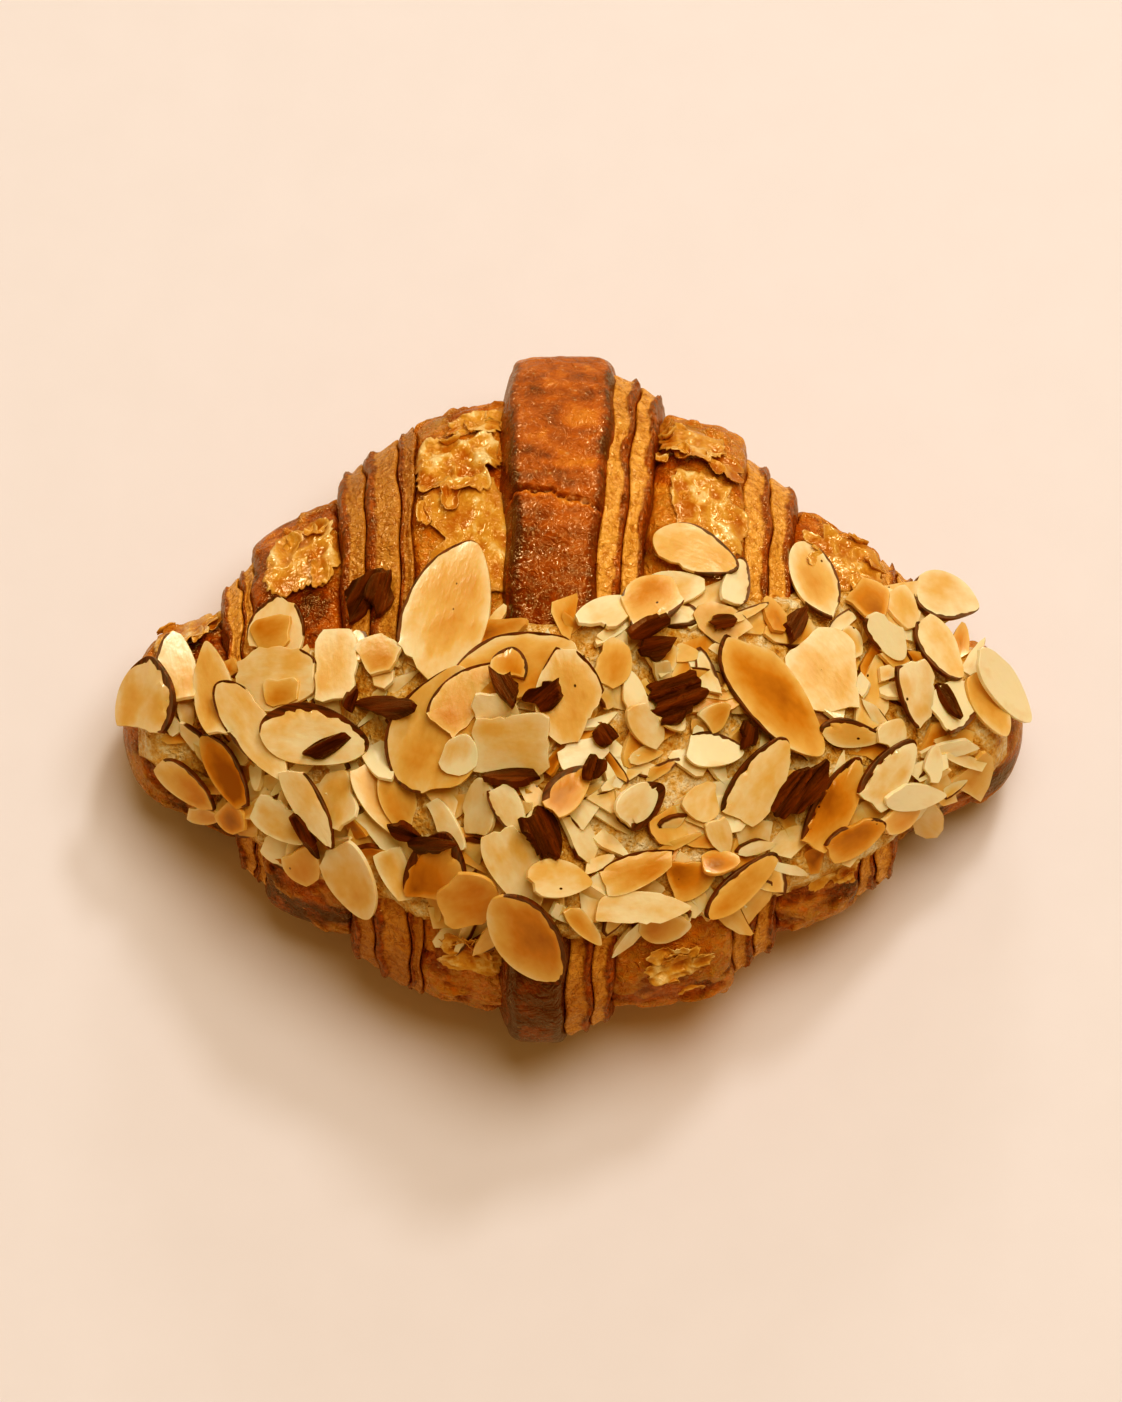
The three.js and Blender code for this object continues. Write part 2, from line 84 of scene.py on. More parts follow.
# Wraps of dough from tip to tip, in millimetres: where each starts along the top, how far that edge leans
# to +X at the front, how far it stands proud of the taper, how far it swells, what it shows, how brown its
# skin is, and how much of it a thin film covers. A rib shows the pale cut face of the layers and a brown lip.
SKIN, RIB = 0, 1
WRAPS = (
    (-75.75, 0, 0, 0.6, SKIN, 0.62, -0.1),
    (-57.3, 1.6, 0, 0.4, RIB, 0.7, -2),
    (-54.5, 1.6, 0, 0.4, RIB, 0.7, -2),
    (-52.4, 1.5, 0.2, 1.1, SKIN, 0.58, -0.15),
    (-37.7, 1.4, 1.1, 0.5, RIB, 1.06, -2),
    (-33.7, 1.3, 1.3, 0.6, RIB, 1.04, -2),
    (-28.3, 1.2, 1.4, 0.4, RIB, 1.15, -2),
    (-25.7, 1, -0.5, 1.3, SKIN, 0.42, 0.25),
    (-10.4, -0.2, 5, 1, SKIN, 0.72, -1.3),
    (2.9, -4.4, 2.4, 0.4, RIB, 0.8, -2),
    (6.9, -4.2, 1.2, 0.4, RIB, 0.8, -2),
    (10.7, -4.3, -1.2, 1.3, SKIN, 0.4, 0.2),
    (27.7, -1.5, -1.8, 0.5, RIB, 0.75, -2),
    (31.5, -1.8, -2.4, 0.5, RIB, 0.75, -2),
    (35.3, -2, -2.6, 1, SKIN, 0.45, 0.05),
    (49.7, -2.2, -0.8, 0.4, RIB, 0.7, -2),
    (52.5, -2.2, -0.3, 0.4, RIB, 0.7, -2),
    (55.3, -2, -1.2, 0.6, SKIN, 0.55, -0.05),
)
# The wrap that is the strap across the middle
STRAP = 8
# How far the edges of the wraps wander
EDGE_WANDER = 0.45
# Rows of a tucked edge: how far out and how deep each lies
TUCK = ((0, 0.3), (0.05, 0.7), (0.15, 1.1))
STRAP_TUCK = ((0.5, 0.9), (0.9, 2.2), (1.3, 3.6), (1.7, 5.2), (2.4, 6))
# How far the edges of the strap, of the ribs and of the other wraps are rounded
STRAP_ROUND = 1.2
RIB_ROUND = 0.3
SKIN_ROUND = 0.6
# Spacing of the crust's rows, the least rows of a wrap, points round the roll, and the gap closed at its seam
ROW_STEP = 0.38
LEAST_ROWS = 9
CRUST_SIDES = 390
SEAM_GAP = 0.01
# Where the points round the roll lie closer, in degrees from and to, and how much: back, low front and crack
CLOSE_TURNS = ((-112, 2, 2.4), (48, 115, 1.2), (-30.5, -24.5, 6))
# The crack across the strap: its place up the slope, where along the roll it bends, its fall from there,
# its width and its depth
CRACK_UP = 34.2
CRACK_BEND = -4.7
CRACK_FALL = 0.3
CRACK_WIDTH = 0.24
CRACK_DEPTH = 1.2
# The point values that colour the crust
CRUST_VALUES = ("brown", "cut", "lip", "film", "tear", "crack", "sunk", "even")

# Sheets of loose film: the wrap, the middle across and up the slope, how wide and how high, how far they lift
LEAF_SHEETS = (
    (7, -19, 38, 14, 12, 0.9),
    (7, -17.6, 25, 14, 18, 0.3),
    (7, -15.5, 44.5, 11, 6, 0.6),
    (11, 20, 41, 11, 10, 0.6),
    (11, 22.5, 29.5, 12, 14, 0.35),
    (11, 25.5, 37.5, 6, 7, 0.5),
    (14, 45, 22, 13, 10, 0.8),
    (3, -45, 22.5, 12, 11, 0.5),
    (17, 58.5, 14, 8, 9, 0.5),
    (0, -65, 10, 10, 7, 0.5),
    (11, 17, -43, 11, 10, 0.9),
    (7, -16, -42, 12, 10, 0.8),
    (3, -45, -25, 9, 7, 0.6),
    (14, 43, -28, 8, 8, 0.7),
)
# Clusters of small loose petals: the wrap, the middle across and up the slope, how far they spread each way,
# how many there are, how large they are and how far they lift
LEAF_CLUSTERS = (
    (7, -22.5, 36, 2.5, 7, 4, 3.2, 0.9),
    (7, -15, 45, 5, 2, 3, 3.2, 0.7),
    (11, 17.5, 41, 3.5, 4, 4, 3.2, 1.0),
    (14, 46, 21.5, 5, 4, 4, 3.2, 0.9),
    (3, -45, 24, 4, 5, 3, 3.2, 0.7),
    (17, 58.5, 14, 3, 5, 3, 3, 0.7),
    (0, -65, 10, 5, 4, 3, 3, 0.6),
    (11, 17, -43, 5, 5, 4, 3.4, 1.0),
    (7, -16, -42, 5, 5, 4, 3.4, 1.0),
    (14, 43, -28, 4, 4, 3, 3, 0.7),
)
# Rings and sides of a sheet and of a petal, their thickness, and the start of their draws
SHEET_MESH = (16, 96)
PETAL_MESH = (6, 40)
LEAF_THICKNESS = 0.14
LEAF_SEED = 41

# The sloping plane on which the topping is laid out, square to the camera
SLOPE = math.radians(20)
SLOPE_ZERO_Z = 27
SLOPE_ACROSS = np.array((1, 0, 0))
SLOPE_UP = np.array((0, math.cos(SLOPE), math.sin(SLOPE)))
SLOPE_OUT = np.array((0, -math.sin(SLOPE), math.cos(SLOPE)))
# Squares and half sizes of the map of heights on it
CELL = 0.5
MAP_HALF_X = 80
MAP_HALF_UP = 62

# The cream's reach to the tips, its back and front edges on the slope, and the rows and columns of its mesh
CREAM_REACH = 73
CREAM_BACK = {"at": 13, "rise": 0.12, "end": 80}
CREAM_FRONT = {"at": -40, "end": 84}
CREAM_MESH = (260, 96)
# How thick it is at its edge, how far inside the dough's outline it ends, how far it follows the steps of the
# wraps, and how wide a groove it bridges
CREAM_EDGE = 0.9
CREAM_INSIDE = 1
CREAM_SOFTENING = 0.6
CREAM_BRIDGE = 2
# How deep its rim is sunk into the dough
CREAM_SUNK = 2.5

# How much a flake narrows to one end, its bevel, how much it raises the pile, and the angle of its creases
FLAKE_TAPER = 0.2
FLAKE_BEVEL = 0.07
PILE_STEP = 0.95
FLAKE_CREASE = math.radians(38)
# Chance slopes of the flakes that stand out, of any flake along its length, and the steepest that one lies
TILT_JITTER = 0.22
LONG_TILT = 0.25
STEEPEST = 1.1
# The length above which a flake lies more level, and where a flake may touch, as shares of its half size
LEVEL_LENGTH = 12
PROBES = np.linspace(-0.95, 0.95, 13)
# Broken flakes and shards: lengths, widths, how many breaks, and tries to find a free place for each
BROKEN_FLAKES = {"longs": (9, 16), "wides": (4, 8), "cut_counts": (2, 4.99), "tries": 6}
SHARDS = {"longs": (6, 12), "wides": (1.6, 3.4), "cut_counts": (1, 2.99), "tries": 4}
# How steep they lie to the side, and the share of them that stays under a flake that stands out
BROKEN_TILT = 0.45
SHARD_TILT = 0.9
KEPT_UNDER = 0.45
# How far they stay from the tips and the edges of the cream, and how far they turn away from the middle, in
# degrees, over what width
TIP_MARGIN = 6
EDGE_MARGIN = 1
FAN_DEGREES = 60
FAN_WIDTH = 20
# Points round a slice, and the spacing and depth of the splinters along its breaks
FINE_OUTLINE = (64, 1.1, 0.35)
PLAIN_OUTLINE = (12, 2.4, 0.4)
SKIN_OUTLINE = (56, 0.7, 0.4)
# Torn skins: rings from the underside to the middle as shares of the outline and of the thickness
SKIN_RINGS = (
    (1, 0),
    (1, 0.8),
    (0.97, 0.97),
    (0.9, 1),
    (0.8, 1),
    (0.7, 1),
    (0.6, 1),
    (0.5, 1),
    (0.4, 1),
    (0.25, 1),
)
# Their thickness, chance slope, how far they are pressed in and how far above the cream they may lie
SKIN_THICKNESS = 1.0
SKIN_TILT = 0.15
SKIN_SINK = 0.4
SKIN_CEILING = 9
SKIN_CREASE = math.radians(45)
# How far apart the grain of single pieces is taken, and the starts of the draws for their shapes
GRAIN_SPREAD = 400
UNDER_SEED = 98
FLAKE_SEED = 99
SKIN_SEED = 97

# The flakes that stand out, from the lowest to the one on top: place across and up the slope, heading in
# degrees, length, width, share snapped off, how toasted, the way its skin faces in degrees, how wide the skin
# shows, and any straight breaks, each the way it faces in degrees and how far it is from the middle.
LANDMARK_FLAKES = (
    (-32.3, -16.5, -62, 14, 5.5, 0.1, 0.25, 0, 0),
    (-28.7, -16.6, -75, 12, 6, 0.15, 0.3, 0, 0),
    (-31.7, -10.7, -60, 8, 4.5, 0.2, 0.05, 0, 0),
    (-30.8, 2.9, 70, 5, 3.6, 0.1, 0.05, 0, 0),
    (-31.4, 6.5, 35, 9, 7, 0.15, 0.45, 0, 0, ((60, 3), (-30, 2.8))),
    (-54.9, -9.6, -45, 5.5, 2.8, 0.1, 0.1, 0, 0),
    (-61, -19.5, -10, 6.5, 3, 0.1, 0.5, 0, 0),
    (-56.1, -20, -50, 7, 4.5, 0.2, 0.65, 0, 0),
    (-44.2, -27.3, -62, 8.5, 6, 0.2, 0.35, 0, 0, ((-60, 3.4),)),
    (-20.5, -20.8, -55, 10.5, 3.6, 0.1, 0.05, 0, 0),
    (-14.8, -18.4, 85, 10.5, 5.2, 0.1, 0.05, 0, 0),
    (-10.4, -18.2, -62, 10, 4.8, 0.1, 0.1, 190, 0.2),
    (1.6, -9, 20, 10.5, 6, 0.1, 0.05, 0, 0, ((100, 2), (0, 4.2))),
    (9.9, -1.5, 100, 11.5, 4, 0.15, 0, 0, 0),
    (6, 5.3, 70, 9.5, 6.5, 0.1, 0.3, 0, 0, ((160, 2.4), (60, 3.6))),
    (11.5, -4.8, -60, 9, 5.2, 0.1, 0, 0, 0),
    (15.7, -3.3, -50, 6.5, 4.2, 0.2, 0.1, 0, 0),
    (22.7, -3.3, 40, 6.5, 4.2, 0.2, 0.35, 0, 0),
    (22.7, -9, -5, 10, 5.6, 0.05, 0.05, 100, 0.2),
    (20.8, -17.3, 60, 7, 6, 0.1, 0, 0, 0, ((0, 2.4), (120, 2.6))),
    (23.6, -22.3, -70, 7.5, 4, 0.2, 0.1, 0, 0),
    (18.8, -29.4, 20, 9.5, 7, 0.15, 0.7, 0, 0, ((90, 2.6),)),
    (23.6, -27.5, 5, 7, 3.8, 0.1, 0.5, 0, 0),
    (14.6, -37.2, 0, 9, 5.2, 0.05, 0.5, 0, 0),
    (1.2, -37, -48, 9, 3.2, 0.1, 0.4, 0, 0),
    (45.4, -6, -8, 10.5, 4.6, 0, 0.35, 80, 0.8),
    (52, -6.6, 60, 6.5, 5, 0.2, 0.05, 0, 0),
    (59.3, -11.5, 85, 7, 3, 0.1, 0.1, 0, 0),
    (45, 8.5, -50, 6.5, 5.2, 0.2, 0.5, 0, 0),
    (54.1, 14.7, -60, 9.5, 4.8, 0.2, 0.2, 0, 0),
    (53.5, -20.2, 25, 7.5, 4.2, 0.1, 0.45, 0, 0),
    (10.4, -17.6, 45, 9.5, 6.5, 0.1, 0.05, -20, 1.4),
    (-1, -15.5, 48, 10.5, 6, 0.1, 0.45, 150, 1.3),
    (-65.8, 4, 100, 13, 7, 0.1, 0.3, 180, 0.2, ((70, 5.4),)),
    (-59, 0.3, 101, 17, 6.8, 0.1, 0.35, 0, 0),
    (-70.5, -0.7, 82, 14.5, 10, 0.15, 0.15, 25, 0.9),
    (-48.7, 10.8, 80, 12, 9.4, 0.2, 0.1, 90, 0.3),
    (-49.2, 10.5, 30, 8, 6.2, 0.1, 0.3, 0, 0, ((100, 2.6), (0, 2.8))),
    (-48.8, 3.1, 4, 16, 11.5, 0.1, 0.08, 95, 0.15, ((0, 6.6), (90, 4.7), (123, 5.4))),
    (-47.5, 0.8, 0, 7, 5.5, 0, 0.35, 0, 0, ((0, 2.7), (90, 2), (180, 2.8), (-75, 2.2))),
    (-38.7, 4.7, 88, 15, 9.5, 0, 0.3, 0, 0, ((90, 5.9), (270, 5.8), (180, 3.4), (0, 3.3))),
    (-52.5, -5.7, -55, 19.8, 7.3, 0, 0.2, 150, 0.35),
    (-63.9, -14.6, -39, 12.6, 4.8, 0.05, 0.55, 50, 0.3),
    (-56.9, -12.8, -61, 15, 5.2, 0, 0.8, 30, 0.4),
    (-47.9, -20.4, -32, 13, 6, 0.15, 0.3, 0, 0, ((60, 2.4),)),
    (-38.4, -17.4, 80, 11.5, 7.4, 0.1, 0.25, 0, 0, ((-90, 5), (20, 3.2))),
    (-43, -17.9, -59, 16, 5, 0, 0.15, -25, 0.25),
    (-42.1, -6.6, -10, 18.2, 10, 0, 0.1, 80, 1.1),
    (-36.3, -29.5, -62, 15, 7.4, 0.12, 0.3, 0, 0),
    (-29.1, -28.3, -66, 13, 5, 0.25, 0.4, 0, 0),
    (-22.1, -28.7, 80, 14, 10, 0.2, 0.7, 95, 1.5),
    (-17.1, -32.8, 20, 10.5, 9.5, 0.05, 0.35, 0, 0, ((-80, 4.2),)),
    (-9.3, -27, -66, 16.5, 8.5, 0.15, 0.1, 0, 0),
    (-7.1, -39.3, -52, 17.5, 10, 0, 0.7, 10, 0.6),
    (-2.8, -29.8, -5, 11, 6.2, 0.05, 0.05, 0, 0),
    (10.7, -34.7, 3, 16.5, 6, 0.06, 0.1, 0, 0, ((-90, 2.2),)),
    (10.1, -28.4, 22, 14.5, 5.8, 0.1, 0.5, 100, 0.2),
    (27.4, -30.7, 42, 15.5, 5, 0, 0.3, 125, 0.7),
    (-20.5, 13.5, 72, 25, 14, 0, 0.45, 165, 0.25),
    (-8.6, 4.8, 14, 22.5, 10.5, 0, 0.5, 95, 0.35),
    (-21.9, -5.7, 68, 22, 15.5, 0, 0.25, 190, 0.25),
    (-17.5, -0.5, 45, 15.5, 8.5, 0.1, 0.5, 120, 0.35, ((-50, 3.2),)),
    (-10.2, 4.7, 80, 6, 6, 0.2, 0.6, 60, 0.3),
    (-0.5, -0.2, 100, 17.5, 11.5, 0.08, 0.35, 45, 0.3, ((-30, 4.4),)),
    (-13, -2, -20, 9, 7, 0.1, 0, 0, 0, ((90, 2.6), (200, 3.2))),
    (-18.5, -9.6, 70, 7.5, 6.5, 0.1, 0.2, 0, 0, ((150, 2.6),)),
    (-9.9, -7.7, 3, 17, 14, 0, 0.25, 0, 0, ((2, 6.2), (92, 4.6), (182, 6.2), (268, 4.8))),
    (4.9, 12.7, 25, 11, 5.6, 0.1, 0.1, 0, 0, ((-90, 1.8),)),
    (16.2, 17.2, 10, 12, 6, 0.2, 0.2, 0, 0),
    (12.9, 15.2, 25, 12, 8.2, 0.1, 0.5, -110, 0.7, ((25, 4.6),)),
    (26.4, 18, 78, 9, 4.6, 0.15, 0.05, 0, 0.3),
    (20.1, 23.5, -20, 15, 7.6, 0, 0.2, 0, 0.3),
    (40.2, 18.6, -66, 13.8, 7.4, 0, 0.45, -30, 0.35),
    (49.2, 15.7, -45, 8.5, 7, 0.15, 0.7, 0, 0, ((60, 2.6), (-20, 3))),
    (41.2, 3.6, -50, 16.5, 13.5, 0, 0.2, 0, 0, ((10, 5.3), (-97, 6.4), (135, 6.3))),
    (32.3, -0.2, -52, 25.3, 9.8, 0, 0.6, 160, 0.35),
    (30, -14.2, 58, 17, 8, 0.1, 0.2, 150, 0.8),
    (42.5, -18.3, 62, 18.5, 6.8, 0.1, 0.55, 150, 1.3),
    (51.6, -13, 55, 14, 6.8, 0.1, 0.3, 140, 1.1),
    (45.8, -23.4, 30, 12, 5.2, 0.1, 0.55, 110, 0.4),
    (55.9, -16.5, 5, 10.5, 4.5, 0, 0.08, 0, 0),
    (51.5, 10.3, -58, 10, 5.6, 0.1, 0.05, 130, 0.2, ((60, 2.2),)),
    (56.4, 0.7, -78, 13, 6.4, 0.12, 0.15, 210, 0.35, ((0, 2.6),)),
    (62.7, -1.8, 40, 10, 8, 0.15, 0.1, -35, 0.5),
    (60.5, 7.7, -58, 12.5, 6, 0.05, 0.15, 205, 0.45),
    (61.9, 16.3, -18, 12, 7.8, 0, 0.25, -120, 0.5),
    (68.7, -1.2, -62, 13, 5.5, 0.1, 0.2, 0, 0),
    (71.2, 1.5, -55, 15, 5.5, 0, 0.05, 0, 0),
)

# Torn pieces of dark almond skin: place across and up the slope, heading in degrees, length and width
SKIN_PIECES = (
    (17.9, 0.5, 20, 11.5, 9),
    (37.4, -15, 50, 14, 6),
    (-34.6, 16, 60, 11, 6.5),
    (-31.6, 17.5, 75, 9, 5),
    (-5.3, -22.6, -65, 12, 5.5),
    (-29.6, -2, 5, 9, 3.8),
    (-40.5, -8.6, 28, 8.8, 2.9),
    (-43.5, -22.8, -62, 12, 1.8),
    (-4.2, 0.4, 40, 8, 5),
    (-10.8, 1.5, -60, 7, 4),
    (-9.7, -13.6, 3, 11, 2.8),
    (13.3, 7.4, 12, 8.5, 4.2),
    (13, 12, 25, 9, 2.6),
    (36.2, 11.6, 60, 7, 3.4),
    (61.9, -0.9, -60, 8, 1.9),
    (24.5, 12, 10, 7, 3),
    (5, -6.5, -50, 6, 3.2),
    (3.2, -11.5, 75, 6, 2.8),
    (28.3, -6.5, 80, 6, 3),
    (-36.5, -0.5, 70, 5.5, 2.2),
    (-23.5, -24.4, 0, 9, 3),
    (-27.6, -21.8, -20, 5, 3),
)

# Round lights: name, place, width, power, and if they are seen only as a shine on glossy surfaces
LIGHTS = (
    ("key", (0.36, 0.17, 2.05), 1.3, 26.8, False),
    ("sparkle", (0.5, 1.0, 1.6), 0.3, 9.0, False),
    ("back", (0.1, 1.8, 0.8), 0.5, 5.0, False),
    ("shine_top", (0.15, -0.15, 2.0), 0.4, 1.5, True),
    ("shine_left", (-1.0, 1.6, 0.7), 0.4, 24.0, True),
    ("shine_right", (1.0, 1.6, 0.7), 0.4, 24.0, True),
)
LIGHT_TARGET = (0, 0, 0.025)
FILL_STRENGTH = 0.29
FLOOR_SIZE = 6
# What the camera looks at on the slope in millimetres, its sensor, and how near it sees in metres
CAMERA_TARGET = (-2.0, -0.83, 0.0)
SENSOR_WIDTH = 36
CLIP_START = 0.01
# Powers of the red, green and blue curves of the picture, at some levels of light
WARM_LEVELS = (0.02, 0.08, 0.25, 0.55)
WARM_POWERS = ((1, 1, 1, 1), (1.14, 1.14, 1.13, 1.13), (1.5, 1.46, 1.35, 1.35))


def linear(hex_colour):
    """A hex colour as scene linear red, green and blue."""
    channels = [int(hex_colour[i : i + 2], 16) / 255 for i in (1, 3, 5)]
    return tuple(c / 12.92 if c <= 0.04045 else ((c + 0.055) / 1.055) ** 2.4 for c in channels)


def size_mm(name, description, value):
    """A size that a user can change, given in millimetres."""
    return bpy.props.FloatProperty(name=name, description=description, default=value * MM, unit="LENGTH")


def amount(name, description, number):
    """A whole number that a user can change."""
    return bpy.props.IntProperty(name=name, description=description, default=number, min=0)


def colour(name, description, hex_colour):
    """A colour that a user can change."""
    return bpy.props.FloatVectorProperty(
        name=name, description=description, default=linear(hex_colour), subtype="COLOR", min=0, max=1
    )


class RollSizes(bpy.types.PropertyGroup):
    """Sizes of the roll of dough."""

    length: size_mm("Length", "From tip to tip", 151.5)
    belly_width: size_mm("Belly width", "Width in the middle, under the strap of dough", 108)
    belly_height: size_mm("Belly height", "Height in the middle, under the strap of dough", 53)
    tip_height: size_mm("Tip height", "Height that the taper runs out to", 20)
    taper_length: size_mm("Taper length", "Half wave of the cosine taper", 158)
    cap_length: size_mm("Cap length", "Rounded end of each tip", 10)
    base_squash: size_mm("Base squash", "How far the underside is pressed flat", 3)
    tip_lift: size_mm("Tip lift", "Rise of the underside at the tips", 7)
    step_wall: size_mm("Step wall", "Width of the steep face between wraps", 0.15)
    lump: size_mm("Lump", "Height of the broad unevenness of the dough", 0.5)


class ToppingSizes(bpy.types.PropertyGroup):
    """Sizes and numbers of the almond topping."""

    cream_thickness: size_mm("Cream thickness", "Thickness of the almond cream", 2.4)
    flake_sink: size_mm("Flake sink", "How far a flake is pressed into what it lies on", 0.45)
    broken_sink: size_mm("Broken sink", "How far a broken flake is pressed in", 1)
    pile_height: size_mm("Pile height", "How far above the cream the underside of a flake may lie", 6.2)
    broken_height: size_mm("Broken height", "How far above the cream a broken flake may lie", 1.6)
    slice_thickness: size_mm("Slice thickness", "Thickness of a sliced almond", 0.75)
    broken_count: amount("Broken flakes", "Broken flakes pressed into the cream", 170)
    shard_count: amount("Shards", "Small broken pieces between the flakes", 180)
    seed: amount("Seed", "Start of the random draws", 20261)


class CrustColours(bpy.types.PropertyGroup):
    """Colours of the baked crust."""

    pale: colour("Pale", "Lightest glazed skin", "#e69a44")
    golden: colour("Golden", "Golden skin", "#d67a26")
    brown: colour("Brown", "Well baked skin", "#b8560f")
    # Also the painted shade in the folds between the wraps
    deep: colour("Deep", "Brown of the strap", "#803206")
    # Also the painted shade inside the crack across the strap
    dark: colour("Dark", "Darkest edges", "#461302")
    cut_pale: colour("Cut pale", "Open layers of a cut face", "#f0ab58")
    cut_deep: colour("Cut deep", "Baked hollows of a cut face", "#b4621a")
    leaf: colour("Leaf", "Thin loose leaves", "#d89a48")
    # Also the colour of the painted glints on the crust skin, and of the leaves' pale thin edges
    leaf_pale: colour("Pale leaf", "Thin edges of the loose leaves", "#f2d096")
    glaze: colour("Glaze", "Tint of the shine on the glaze", "#ffd4a6")


class AlmondColours(bpy.types.PropertyGroup):
    """Colours of the almonds and the almond cream."""

    pale: colour("Pale", "Untoasted almond", "#f8e3ba")
    cream: colour("Cream", "Lightly toasted almond", "#e8b670")
    toasted: colour("Toasted", "Toasted almond", "#cf832e")
    browned: colour("Browned", "Browned almond", "#9c5a18")
    skin: colour("Skin", "Brown skin of the almond", "#743618")
    skin_dark: colour("Dark skin", "Darkest skin", "#321406")
    filling: colour("Filling", "Almond cream", "#d08a34")
    filling_brown: colour("Browned filling", "Browned tops of the cream", "#96561a")
    gloss: colour("Gloss", "Tint of the shine on the almonds", "#fff4e4")


class StageLook(bpy.types.PropertyGroup):
    """Floor, light and camera."""

    floor: colour("Floor", "Plain pale floor", "#f2e9e8")
    key: colour("Key light", "Large soft light from behind on the right", "#fffaf4")
    fill: colour("Fill light", "Warm light from all round", "#ffdab3")
    camera_distance: size_mm("Camera distance", "From the aim to the camera", 1400)
    view_height: size_mm("View height", "Height of the picture at the object", 233.7)


def mm(value):
    """A length in metres as millimetres."""
    return value / MM


def mix(a, b, share):
    """The value a share of the way from a to b."""
    return a + (b - a) * share


def smoothstep(low, high, value):
    """An eased rise from 0 at low to 1 at high."""
    share = np.clip((value - low) / (high - low), 0, 1)
    return share * share * (3 - 2 * share)


class Draws:
    """Seeded draws, the same on every run."""

    MULTIPLIER = 1664525
    INCREMENT = 1013904223

    def __init__(self, seed):
        self.state = seed & WORD

    def __call__(self, low=0.0, high=1.0):
        """The next draw between low and high."""
        self.state = (self.state * self.MULTIPLIER + self.INCREMENT) & WORD
        return low + (high - low) * (self.state >> 8) / 2**24


def lattice(cells, seed):
    """A fixed chance value from 0 to 1 for each whole-number cell."""
    mixed = cells[..., 0] * 374761393 + cells[..., 1] * 668265263 + cells[..., 2] * 2147483647 + seed * 974711
    mixed = mixed & WORD
    mixed = ((mixed ^ (mixed >> 13)) * 1274126177) & WORD
    return ((mixed ^ (mixed >> 16)) & 0xFFFFFF) / 0x1000000


def noise(points, size, seed):
    """Smooth noise from -1 to 1 with bumps about as wide as size."""
    scaled = points / size
    cell = np.floor(scaled).astype(np.int64)
    part = scaled - cell
    part = part * part * (3 - 2 * part)
    total = np.zeros(points.shape[:-1])
    for corner in np.ndindex(2, 2, 2):
        weight = np.prod(np.where(np.array(corner) == 1, part, 1 - part), axis=-1)
        total += weight * lattice(cell + np.array(corner), seed)
    return 2 * total - 1


